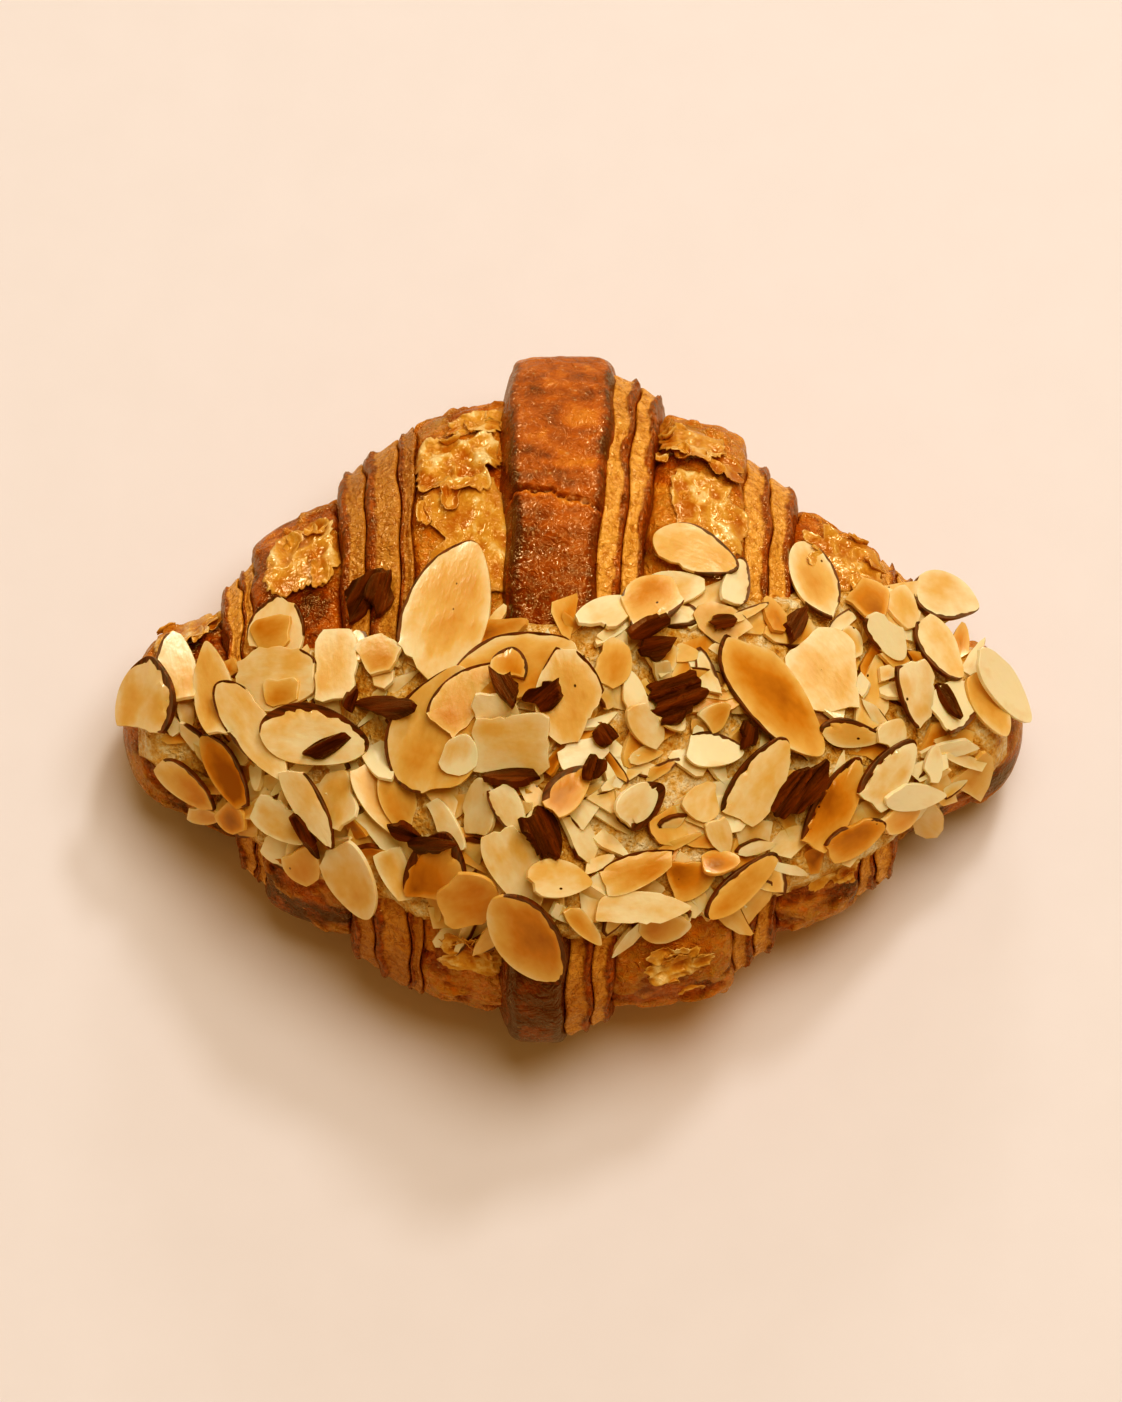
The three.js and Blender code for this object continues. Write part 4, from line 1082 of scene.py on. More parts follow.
class CrustGrid:
    """A grid over some wraps of crust: its points, in millimetres, and the values that colour them."""

    def __init__(self, roll, first, last):
        self.roll = roll
        turns = crust_turns(CRUST_SIDES)
        rows = crust_rows(roll, first, last)
        shape = (len(rows), len(turns))
        wrap, self.share, self.depth, self.shift = (
            np.broadcast_to(column[:, None], shape) for column in rows.T
        )
        self.wrap = wrap.astype(int)
        self.turn = np.broadcast_to(turns[None], shape)
        self.base = roll.point(self.wrap, self.share, self.turn)
        self.x = self.base[..., 0]
        self.up = (self.base - np.array((0, 0, SLOPE_ZERO_Z))) @ SLOPE_UP
        self.strap = self.wrap == STRAP
        self.rib = roll.kinds[self.wrap]
        self.distance = self.edge_distance()
        self.inner = self.rib_share()
        self.lip = self.rib * smoothstep(0.66, 0.76, self.inner)
        self.film_field = self.film_noise()
        self.film = smoothstep(-0.2, 0.2, self.film_field)
        self.below_crack = crack_line(self.x) - self.up
        self.crack = self.strap * np.exp(-((self.below_crack / CRACK_WIDTH) ** 2)) * (self.depth == 0)

    def edge_distance(self):
        """How far each point is in from the nearer edge of its wrap; the tips have no edge."""
        roll, wrap = self.roll, self.wrap
        width = roll.edge(wrap + 1, self.turn) - roll.edge(wrap, self.turn)
        from_start = np.where(wrap == 0, FAR, self.share * width)
        from_end = np.where(wrap == roll.last, FAR, (1 - self.share) * width)
        return np.minimum(from_start, from_end)

    def rib_share(self):
        """How far each point is across its wrap from the strap's side, with an uneven line."""
        share = np.where(self.wrap > STRAP, self.share, 1 - self.share)
        return share + 0.16 * noise(self.base, 6, 30) + 0.1 * noise(self.base, 2.2, 31)

    def film_noise(self):
        """Where thin films of pastry are left on the skin: above zero."""
        base = self.base
        field = noise(base, 8, 21) + 0.45 * noise(base, 3, 22) + 0.25 * noise(base, 1.3, 23)
        return field + self.roll.films[self.wrap]

    def relief(self):
        """Height of the ribs, wrinkles and blisters over the wraps, with the crack sunk in."""
        base, rib, strap = self.base, self.rib, self.strap
        slope = 1.2 * rib * np.clip(1 - self.inner / 0.6, 0, 1) ** 1.4
        ridge = 0.6 * rib * np.exp(-(((self.inner - 0.86) / 0.12) ** 2)) * (1 + 0.8 * noise(base, 5, 32))
        wrinkle = 0.34 * noise(base, 5, 1) + 0.18 * noise(base, 2.2, 2) + 0.08 * noise(base, 1.1, 3)
        wrinkle = wrinkle * (1 - strap * (1 - smoothstep(0, 2.5, self.distance)))
        blister = self.film * (0.4 + 0.9 * np.maximum(0, noise(base, 2.3, 24)))
        step = 0.4 * strap * smoothstep(0, 0.4, self.below_crack)
        return slope + ridge + wrinkle + blister - CRACK_DEPTH * self.crack - step

    def points(self):
        """Places of the grid's points: edges are rounded off and tucked in, and the base stays flat."""
        radius = np.where(self.strap, STRAP_ROUND, np.where(self.rib == RIB, RIB_ROUND, SKIN_ROUND))
        cap = self.roll.cap(self.x)
        fade = cap * smoothstep(0, 4, self.base[..., 2])
        sunk = round_off(self.distance, radius) + self.depth
        points = self.roll.point(self.wrap, self.share, self.turn, self.relief() * fade - sunk * cap)
        points[..., 0] += self.shift
        return points

    def strap_brown(self):
        """How brown the strap is: darker to the front and paler up the slope as painted shade and light, darker
        along its edges, streaked, pale under the crack.
        """
        x, up = self.x, self.up
        # Darker low on the front and paler up the slope: painted shade and light; darker along the edges as
        # baked
        brown = mix(0.78, 0.5, smoothstep(16, 46, up)) + 0.3 * (1 - smoothstep(0.4, 2, self.distance))
        spot = np.stack((0.3 * x, up, 0 * x), axis=-1)
        streak = 0.7 * noise(spot, 2.4, 34) + 0.6 * noise(spot, 1.1, 36) + 0.5 * noise(self.base, 2.6, 35)
        below = self.below_crack
        crack_edge = self.strap * smoothstep(0.2, 0.4, below) * (1 - smoothstep(0.6, 1.2, below))
        brown = brown + mix(0.1, 0.2, smoothstep(24, 38, up)) * streak - 0.35 * crack_edge
        return np.minimum(brown, 0.86)

    def brown(self):
        """How brown the skin is baked, with painted shade making it darker low on the front."""
        strap = self.strap
        brown = np.where(strap, self.strap_brown(), self.roll.browns[self.wrap])
        brown = brown + 0.2 * noise(self.base, 11, 4) * (1 - 0.6 * strap)
        # Painted shade: darker low on the front, which faces away from the light
        return brown + np.where(strap, 0.1, 0.2) * smoothstep(0.6, 1.3, self.turn)

    def values(self):
        """The point values that the crust's material reads."""
        strap, depth = self.strap, self.depth
        layered = 0.5 + 0.5 * np.sin(2.6 * depth + 1.5 * noise(self.base, 9, 33))
        return {
            "brown": self.brown(),
            "cut": self.rib - self.lip,
            "lip": np.maximum(self.lip, strap * (depth > 0) * layered),
            "film": self.film,
            "tear": np.exp(-((self.film_field / 0.07) ** 2)) * (self.rib == SKIN),
            # The crack, which the material paints dark as the shade inside it
            "crack": self.crack,
            # How deep a point lies in a fold between the wraps, which the material paints as shade
            "sunk": np.where(strap, smoothstep(4.5, 6, depth), smoothstep(0.2, 1.0, depth)),
            "even": strap * mix(0.75, 0.3, smoothstep(30, 40, self.up)),
        }


def clear_selection():
    """Deselects everything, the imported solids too."""
    bpy.ops.object.select_all(action="DESELECT")


def select_only(obj):
    """Selects one piece and makes it the active one."""
    clear_selection()
    obj.select_set(True)
    bpy.context.view_layer.objects.active = obj


def set_values(mesh, **values):
    """Stores point values that the materials read."""
    for name, value in values.items():
        attribute = mesh.attributes.new(name, "FLOAT", "POINT")
        attribute.data.foreach_set("value", np.asarray(value, dtype=np.float32).ravel())


def grid_object(name, points, **values):
    """A primitive grid whose points are moved to the given rows and columns, in millimetres."""
    rows, columns = points.shape[:2]
    clear_selection()
    bpy.ops.mesh.primitive_grid_add(x_subdivisions=columns - 1, y_subdivisions=rows - 1, size=1)
    obj = bpy.context.object
    obj.name = name
    obj.data.name = name
    obj.data.vertices.foreach_set("co", (points * MM).ravel())
    set_values(obj.data, **values)
    obj.data.update()
    return obj


def pieces_object(name, pieces):
    """One joined mesh of many small things."""
    mesh = bpy.data.meshes.new(name)
    mesh.from_pydata(np.concatenate(pieces.points) * MM, [], pieces.faces)
    set_values(mesh, **{key: np.concatenate(value) for key, value in pieces.values.items()})
    mesh.update()
    obj = bpy.data.objects.new(name, mesh)
    bpy.context.scene.collection.objects.link(obj)
    return obj


def finish_piece(obj, material, slot, *nodes):
    """Gives a finished piece its material, hangs it under the frame's root and hides the solids that it stands
    for.
    """
    obj.data.materials.clear()
    obj.data.materials.append(material)
    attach(obj, "root")
    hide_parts(*nodes)


def per_mm(size):
    """Scale of a pattern whose features are about as wide as size, in millimetres."""
    return 1 / (size * MM)


def add_node(tree, kind, inputs=None, output=None, stops=(), **settings):
    """Adds a node, sets its properties, colour stops and inputs, and gives its named or first output."""
    node = tree.nodes.new("ShaderNode" + kind)
    for key, value in settings.items():
        setattr(node, key, value)
    for i, (place, rgb) in enumerate(stops):
        element = node.color_ramp.elements[i] if i < 2 else node.color_ramp.elements.new(place)
        element.position = place
        element.color = (*rgb, 1.0)
    for key, value in (inputs or {}).items():
        used = (socket for socket in node.inputs if socket.enabled and socket.name == key)
        socket = node.inputs[key] if isinstance(key, int) else next(used)
        if isinstance(value, bpy.types.NodeSocket):
            tree.links.new(value, socket)
        else:
            socket.default_value = value
    used = (socket for socket in node.outputs if socket.enabled)
    return node.outputs[output] if output else next(used, None)


def new_material(name):
    """A material with no nodes, and the function that adds them."""
    material = bpy.data.materials.new(name)
    material.use_nodes = True
    material.node_tree.nodes.clear()
    return material, functools.partial(add_node, material.node_tree)


def crust_skin(node, colours, values, place, mottle, worms, rougher):
    """Glazed skin in mottled golden to deep brown, with pale dots painted on as glints of small bubbles, and
    films of parchment over it.
    """
    patches = {"Vector": place, "Scale": per_mm(8), "Detail": 5, "Roughness": 0.62, "Distortion": 0.8}
    patches = node("TexNoise", patches)
    patches = node("Math", {0: patches, 1: 0.5}, operation="SUBTRACT")
    patchy = node("Math", {0: values["even"], 1: -1.9, 2: 1.9}, operation="MULTIPLY_ADD")
    shade = node("Math", {0: patches, 1: patchy, 2: values["brown"]}, operation="MULTIPLY_ADD")
    shade = node("Math", {0: mottle, 1: 0.3, 2: shade}, operation="MULTIPLY_ADD")
    shade = node("Math", {0: worms, 1: -0.06, 2: shade}, operation="MULTIPLY_ADD")
    shade = node("MapRange", {"Value": shade, "From Min": 0.02, "From Max": 1.02})
    skin_stops = (
        (0.05, colours.pale),
        (0.32, colours.golden),
        (0.55, colours.brown),
        (0.82, colours.deep),
        (1.0, colours.dark),
    )
    skin = node("ValToRGB", {"Fac": shade}, stops=skin_stops)
    # Pale dots painted on as glints where light catches small bubbles
    glint_specks = node("TexVoronoi", {"Vector": place, "Scale": per_mm(2.4)})
    glint_specks = node("MapRange", {"Value": glint_specks, "From Min": 0.14, "From Max": 0.07, "To Max": 0.35})
    glint_specks = node("Math", {0: glint_specks, 1: rougher}, operation="MULTIPLY")
    skin = node("Mix", {"Factor": glint_specks, "A": skin, "B": (*colours.leaf_pale, 1)}, data_type="RGBA")
    # Thin films: pale parchment over the skin
    parchment = node("ValToRGB", {"Fac": mottle}, stops=((0.35, colours.golden), (0.6, colours.leaf)))
    share = node("Math", {0: values["film"], 1: 0.6}, operation="MULTIPLY")
    return node("Mix", {"Factor": share, "A": skin, "B": parchment}, data_type="RGBA")


def crust_cuts(node, colours, values, skin, mottle, worms):
    """Pale open layers of the cut faces, darker in the hollows and where they are well baked."""
    hollow = node("Math", {0: worms, 1: 0.08, 2: mottle}, operation="MULTIPLY_ADD")
    cut_stops = ((0.3, colours.cut_deep), (0.62, colours.cut_pale))
    layers = node("ValToRGB", {"Fac": hollow}, stops=cut_stops)
    well_baked = {"Value": values["brown"], "From Min": 0.85, "From Max": 1.2, "To Max": 0.6}
    well_baked = node("MapRange", well_baked)
    layers = node("Mix", {"Factor": well_baked, "A": layers, "B": (*colours.deep, 1)}, data_type="RGBA")
    return node("Mix", {"Factor": values["cut"], "A": skin, "B": layers}, data_type="RGBA")


def crust_edges(node, colours, values, coloured, mottle):
    """Lips and torn edges, which are baked darkest, and painted shade in the crack and in the folds between the
    wraps.
    """
    lip_stops = ((0.3, colours.dark), (0.45, colours.deep), (0.65, colours.brown))
    lip_shade = node("ValToRGB", {"Fac": mottle}, stops=lip_stops)
    share = node("Math", {0: values["lip"], 1: 0.85}, operation="MULTIPLY")
    coloured = node("Mix", {"Factor": share, "A": coloured, "B": lip_shade}, data_type="RGBA")
    share = node("Math", {0: values["tear"], 1: 0.4}, operation="MULTIPLY")
    coloured = node("Mix", {"Factor": share, "A": coloured, "B": (*colours.deep, 1)}, data_type="RGBA")
    # Painted shade inside the crack
    crack = {"Factor": values["crack"], "A": coloured, "B": (*colours.dark, 1)}
    coloured = node("Mix", crack, data_type="RGBA")
    # Painted shade in the folds between the wraps, deeper where they tuck in further
    share = node("Math", {0: values["sunk"], 1: 0.7}, operation="MULTIPLY")
    return node("Mix", {"Factor": share, "A": coloured, "B": (*colours.deep, 1)}, data_type="RGBA")


def crust_relief(node, place, worms, rougher):
    """Fine relief: wrinkles and small bubbles of the skin, crackle of the cut faces."""
    wrinkle = node("TexNoise", {"Vector": place, "Scale": per_mm(2.4), "Detail": 2, "Distortion": 1.5})
    bubbles = node("TexNoise", {"Vector": place, "Scale": per_mm(1.5), "Detail": 1, "Distortion": 0.8})
    normal = node("Bump", {"Height": wrinkle, "Distance": 0.7 * MM})
    crackle = {"Height": worms, "Strength": rougher, "Distance": 0.1 * MM, "Normal": normal}
    normal = node("Bump", crackle)
    blisters = {"Height": bubbles, "Strength": rougher, "Distance": 0.26 * MM, "Normal": normal}
    return node("Bump", blisters)


def crust_material(colours):
    """Glazed laminated crust: mottled golden to deep brown skin, pale crackled cut faces and dark lips."""
    material, node = new_material("baked_pastry_glazed_crust")
    place = node("TexCoord", output="Object")
    values = {name: node("Attribute", output="Fac", attribute_name=name) for name in CRUST_VALUES}
    # Fine mottling and winding wrinkles of the bake, and how rough the surface is: least on the strap
    mottle = node("TexNoise", {"Vector": place, "Scale": per_mm(1.3), "Detail": 4, "Roughness": 0.6})
    swirl = node("TexNoise", {"Vector": place, "Scale": per_mm(1.3), "Detail": 1.5, "Distortion": 1.2})
    worms = node("Math", {0: swirl, 1: 2.0, 2: -1.0}, operation="MULTIPLY_ADD")
    worms = node("Math", {0: worms}, operation="ABSOLUTE")
    worms = node("MapRange", {"Value": worms, "From Max": 0.2})
    rougher = node("Math", {0: values["even"], 1: -0.8, 2: 1.0}, operation="MULTIPLY_ADD")
    coloured = crust_skin(node, colours, values, place, mottle, worms, rougher)
    coloured = crust_cuts(node, colours, values, coloured, mottle, worms)
    coloured = crust_edges(node, colours, values, coloured, mottle)
    normal = crust_relief(node, place, worms, rougher)
    # The glaze is shiny, most where it is thick, and has no bright rim where it turns away
    rough = {"Value": mottle, "From Min": 0.3, "From Max": 0.7, "To Min": 0.12, "To Max": 0.24}
    rough = node("MapRange", rough)
    rough = node("Math", {0: values["cut"], 1: 0.1, 2: rough}, operation="MULTIPLY_ADD")
    facing = node("LayerWeight", {"Normal": normal}, output="Facing")
    gloss = {"Value": facing, "From Min": 0.35, "From Max": 0.85, "To Min": 0.6, "To Max": 0.06}
    gloss = node("MapRange", gloss)
    surface = {"Base Color": coloured, "Roughness": rough, "Normal": normal, "Specular IOR Level": gloss}
    shader = node("BsdfPrincipled", {**surface, "Specular Tint": (*colours.glaze, 1)})
    node("OutputMaterial", {"Surface": shader})
    return material


def leaf_material(colours):
    """Thin loose leaves of pastry: crumpled, with painted highlights on the ridges of the folds and painted
    shade in their valleys, paler along the thin curled edge partly as a painted highlight, and with a glassy
    glaze.
    """
    material, node = new_material("baked_pastry_thin_leaf")
    place = node("TexCoord", output="Object")
    names = ("rim", "fold", "tone")
    rim, fold, tone = (node("Attribute", output="Fac", attribute_name=name) for name in names)
    patches = node("TexNoise", {"Vector": place, "Scale": per_mm(3), "Detail": 4, "Roughness": 0.6})
    shade = node("Math", {0: tone, 1: 0.25, 2: patches}, operation="MULTIPLY_ADD")
    # Painted light: the ridges of the folds paler, their valleys darker
    shade = node("Math", {0: fold, 1: 0.25, 2: shade}, operation="MULTIPLY_ADD")
    leaf_stops = ((0.5, colours.cut_deep), (0.82, colours.leaf), (1.0, colours.leaf_pale))
    toned = node("ValToRGB", {"Fac": shade}, stops=leaf_stops)
    # The thin curled edge is paler, partly its own thin colour and partly a painted highlight
    edge = node("Math", {0: rim, 1: 16.0}, operation="POWER")
    edge = node("Math", {0: edge, 1: 0.2}, operation="MULTIPLY")
    coloured = node("Mix", {"Factor": edge, "A": toned, "B": (*colours.leaf_pale, 1)}, data_type="RGBA")
    wrinkle = node("TexNoise", {"Vector": place, "Scale": per_mm(1.6), "Detail": 2, "Distortion": 1})
    normal = node("Bump", {"Height": wrinkle, "Distance": 0.35 * MM})
    surface = {"Base Color": coloured, "Normal": normal, "Roughness": 0.22, "Specular IOR Level": 0.5}
    shader = node("BsdfPrincipled", {**surface, "Specular Tint": (*colours.glaze, 1)})
    node("OutputMaterial", {"Surface": shader})
    return material


def cream_material(colours):
    """Baked almond cream: a grainy pale crumb with browned tops and a sugary shine."""
    material, node = new_material("baked_almond_cream_crumb")
    place = node("TexCoord", output="Object")
    patches = node("TexNoise", {"Vector": place, "Scale": per_mm(4), "Detail": 4, "Roughness": 0.6})
    crumb = node("TexNoise", {"Vector": place, "Scale": per_mm(0.7), "Detail": 3, "Roughness": 0.6})
    shade = node("Math", {0: crumb, 1: 0.5, 2: patches}, operation="MULTIPLY_ADD")
    cream_stops = (
        (0.58, colours.pale),
        (0.76, colours.cream),
        (0.9, colours.filling),
        (1.0, colours.filling_brown),
    )
    coloured = node("ValToRGB", {"Fac": shade}, stops=cream_stops)
    grains = node("TexVoronoi", {"Vector": place, "Scale": per_mm(0.8)})
    normal = node("Bump", {"Height": crumb, "Distance": 0.7 * MM})
    normal = node("Bump", {"Height": grains, "Distance": 0.3 * MM, "Normal": normal})
    surface = {"Base Color": coloured, "Normal": normal, "Roughness": 0.25, "Specular IOR Level": 0.5}
    shader = node("BsdfPrincipled", {**surface, "Specular Tint": (*colours.gloss, 1)})
    node("OutputMaterial", {"Surface": shader})
    return material


def grain_space(node, stretch):
    """The flake's own plane, stretched along its length, in metres."""
    names = ("grain_u", "grain_v", "tone")
    u, v, tone = (node("Attribute", output="Fac", attribute_name=name) for name in names)
    along = node("Math", {0: u, 1: stretch}, operation="DIVIDE")
    plane = node("CombineXYZ", {"X": along, "Y": v, "Z": tone})
    return node("VectorMath", {"Vector": plane, "Scale": MM}, operation="SCALE")


def almond_material(colours):
    """Sliced almond: ivory, a little see-through, with toasted patches, dark flecks and skin on its edge."""
    material, node = new_material("almond_sliced_toasted")
    names = ("toast", "skin", "tone")
    toast, skin, tone = (node("Attribute", output="Fac", attribute_name=name) for name in names)
    skin = node("MapRange", {"Value": skin, "From Min": 0.35, "From Max": 0.6})
    grain = grain_space(node, 6.0)
    plane = grain_space(node, 1.4)
    streak = node("TexNoise", {"Vector": grain, "Scale": per_mm(0.7), "Detail": 3})
    cloud = node("TexNoise", {"Vector": plane, "Scale": per_mm(4.5), "Detail": 3, "Roughness": 0.5})
    speckle = node("TexNoise", {"Vector": plane, "Scale": per_mm(1.2), "Detail": 3, "Roughness": 0.6})
    patch = node("MapRange", {"Value": cloud, "From Min": 0.42, "From Max": 0.68})
    shade = node("Math", {0: patch, 1: 0.2, 2: toast}, operation="MULTIPLY_ADD")
    shade = node("Math", {0: speckle, 1: 0.14, 2: shade}, operation="MULTIPLY_ADD")
    shade = node("Math", {0: streak, 1: 0.06, 2: shade}, operation="MULTIPLY_ADD")
    shade = node("Math", {0: tone, 1: -0.22, 2: shade}, operation="MULTIPLY_ADD")
    face_stops = (
        (0.04, colours.pale),
        (0.34, colours.cream),
        (0.7, colours.toasted),
        (1.0, colours.browned),
    )
    face = node("ValToRGB", {"Fac": shade}, stops=face_stops)
    flecks = node("TexVoronoi", {"Vector": plane, "Scale": per_mm(4.5)})
    flecks = node("MapRange", {"Value": flecks, "From Min": 0.05, "From Max": 0.035})
    face = node("Mix", {"Factor": flecks, "A": face, "B": (*colours.skin_dark, 1)}, data_type="RGBA")
    bark = node("TexNoise", {"Vector": grain, "Scale": per_mm(0.5), "Detail": 3, "Roughness": 0.6})
    bark = node("ValToRGB", {"Fac": bark}, stops=((0.35, colours.skin_dark), (0.7, colours.skin)))
    coloured = node("Mix", {"Factor": skin, "A": face, "B": bark}, data_type="RGBA")
    normal = node("Bump", {"Height": streak, "Distance": 0.02 * MM})
    normal = node("Bump", {"Height": speckle, "Distance": 0.05 * MM, "Normal": normal})
    normal = node("Bump", {"Height": cloud, "Distance": 0.2 * MM, "Normal": normal})
    rough = node("MapRange", {"Value": skin, "To Min": 0.26, "To Max": 0.42})
    surface = {"Base Color": coloured, "Normal": normal, "Roughness": rough, "Specular IOR Level": 0.4}
    depth = {"Subsurface Weight": 0.2, "Subsurface Scale": 1.5 * MM}
    shader = node("BsdfPrincipled", {**surface, **depth, "Specular Tint": (*colours.gloss, 1)})
    node("OutputMaterial", {"Surface": shader})
    return material


def skin_material(colours):
    """Torn almond skin: red brown, with painted shade in the grooves of its folds and a painted highlight along
    the ridges, and a little glossy.
    """
    material, node = new_material("almond_skin_ridged")
    fold = node("Attribute", output="Fac", attribute_name="fold")
    grain = grain_space(node, 9.0)
    bark = node("TexNoise", {"Vector": grain, "Scale": per_mm(0.5), "Detail": 4, "Roughness": 0.65})
    # Painted light: the ridges of the folds lighter, the grooves darker
    shade = node("Math", {0: fold, 1: 0.18, 2: bark}, operation="MULTIPLY_ADD")
    coloured = node("ValToRGB", {"Fac": shade}, stops=((0.4, colours.skin_dark), (0.9, colours.skin)))
    normal = node("Bump", {"Height": bark, "Distance": 0.4 * MM})
    surface = {"Base Color": coloured, "Normal": normal, "Roughness": 0.35, "Specular IOR Level": 0.25}
    shader = node("BsdfPrincipled", {**surface, "Specular Tint": (*colours.toasted, 1)})
    node("OutputMaterial", {"Surface": shader})
    return material


def floor_material(look):
    """Plain pale matt floor."""
    material, node = new_material("painted_board_matt")
    place = node("TexCoord", output="Object")
    grain = node("TexNoise", {"Vector": place, "Scale": per_mm(12), "Detail": 3})
    darker = [0.985 * channel for channel in look.floor]
    coloured = node("ValToRGB", {"Fac": grain}, stops=((0.3, darker), (0.7, look.floor)))
    shader = node("BsdfPrincipled", {"Base Color": coloured, "Roughness": 0.9, "Specular IOR Level": 0.1})
    node("OutputMaterial", {"Surface": shader})
    return material


class CROISSANT_OT_crust(bpy.types.Operator):
    """Build the laminated crust of the roll: both sides and the strap between them"""

    bl_idname = "croissant.crust"
    bl_label = "Build crust"

    def execute(self, context):
        scene = context.scene
        roll = Roll(scene.croissant_roll)
        material = crust_material(scene.croissant_crust)
        sides = {
            "crust_left": (0, STRAP - 1),
            "crust_strap": (STRAP, STRAP),
            "crust_right": (STRAP + 1, roll.last),
        }
        for name, (first, last) in sides.items():
            grid = CrustGrid(roll, first, last)
            crust = grid_object(name, grid.points(), **grid.values())
            self.close_seams()
            finish_piece(crust, material, "crust", "croissant")
        return {"FINISHED"}

    def close_seams(self):
        """Merges the seam and the tips of the grid and turns its faces outwards."""
        bpy.ops.object.mode_set(mode="EDIT")
        bpy.ops.mesh.select_all(action="SELECT")
        bpy.ops.mesh.remove_doubles(threshold=SEAM_GAP * MM)
        bpy.ops.mesh.normals_make_consistent(inside=False)
        bpy.ops.object.mode_set(mode="OBJECT")
        bpy.ops.object.shade_smooth()


class CROISSANT_OT_leaves(bpy.types.Operator):
    """Build the loose leaves of pastry that peel from the crust"""

    bl_idname = "croissant.leaves"
    bl_label = "Build leaves"

    def execute(self, context):
        scene = context.scene
        leaves = pieces_object("pastry_leaves", self.lay_leaves(Roll(scene.croissant_roll)))
        select_only(leaves)
        solid = leaves.modifiers.new("thickness", "SOLIDIFY")
        solid.thickness = LEAF_THICKNESS * MM
        bpy.ops.object.modifier_apply(modifier=solid.name)
        bpy.ops.object.shade_smooth()
        finish_piece(leaves, leaf_material(scene.croissant_crust), "crust", "croissant")
        return {"FINISHED"}

    def lay_leaves(self, roll):
        """Lays the large sheets and then the clusters of small petals."""
        draw = Draws(LEAF_SEED)
        pieces = Pieces("rim", "fold", "tone")
        for wrap, across, up, wide, high, lift in LEAF_SHEETS:
            add_leaf(pieces, roll, wrap, (across, up), (wide, high), lift, 0, SHEET_MESH, draw)
        for wrap, across, up, spread_across, spread_up, number, size, lift in LEAF_CLUSTERS:
            for _ in range(number):
                place = (across + draw(-1, 1) * spread_across, up + draw(-1, 1) * spread_up)
                petal = (size * draw(0.7, 1.4), size * draw(0.5, 1))
                add_leaf(pieces, roll, wrap, place, petal, lift, draw(0, 2 * np.pi), PETAL_MESH, draw)
        return pieces


class CROISSANT_OT_cream(bpy.types.Operator):
    """Build the baked almond cream"""

    bl_idname = "croissant.cream"
    bl_label = "Build cream"

    def execute(self, context):
        scene = context.scene
        roll = Roll(scene.croissant_roll)
        topping = Topping(roll, scene.croissant_topping)
        cream = grid_object("almond_cream", self.cream_points(roll, topping))
        bpy.ops.object.shade_smooth()
        finish_piece(cream, cream_material(scene.croissant_almond), "almond", "almond_topping")
        return {"FINISHED"}

    def cream_points(self, roll, topping):
        """A crumbly sheet from the front edge to the back edge, sunk into the dough all round."""
        rows = np.linspace(-CREAM_REACH + 0.5, CREAM_REACH - 0.5, CREAM_MESH[0])
        shares = np.linspace(0, 1, CREAM_MESH[1])
        across = np.repeat(rows[:, None], len(shares), axis=1)
        edge = 1.2 * noise(np.stack((rows, 0 * rows, 0 * rows), axis=-1), 5, 11)[:, None]
        lowest, highest = roll.reach_up(rows)
        front = np.maximum(cream_front(across) + edge, lowest[:, None] + CREAM_INSIDE)
        back = np.minimum(cream_back(across) - edge, highest[:, None] - CREAM_INSIDE)
        up = mix(front, back, shares[None])
        out = topping.sample(topping.cream, across, up)
        spot = np.stack((across, up, 0 * up), axis=-1)
        crumb = 0.55 * noise(spot, 3.4, 12) + 0.3 * noise(spot, 1.5, 13)
        end = np.minimum(shares, 1 - shares)[None] * np.ones_like(across)
        tip = np.minimum(rows - rows[0], rows[-1] - rows)[:, None]
        sunk = CREAM_SUNK * (1 - smoothstep(0, 0.03, end)) + CREAM_SUNK * (1 - smoothstep(0, 2, tip))
        return from_slope(across, up, out + crumb * smoothstep(0, 0.1, end) - sunk)


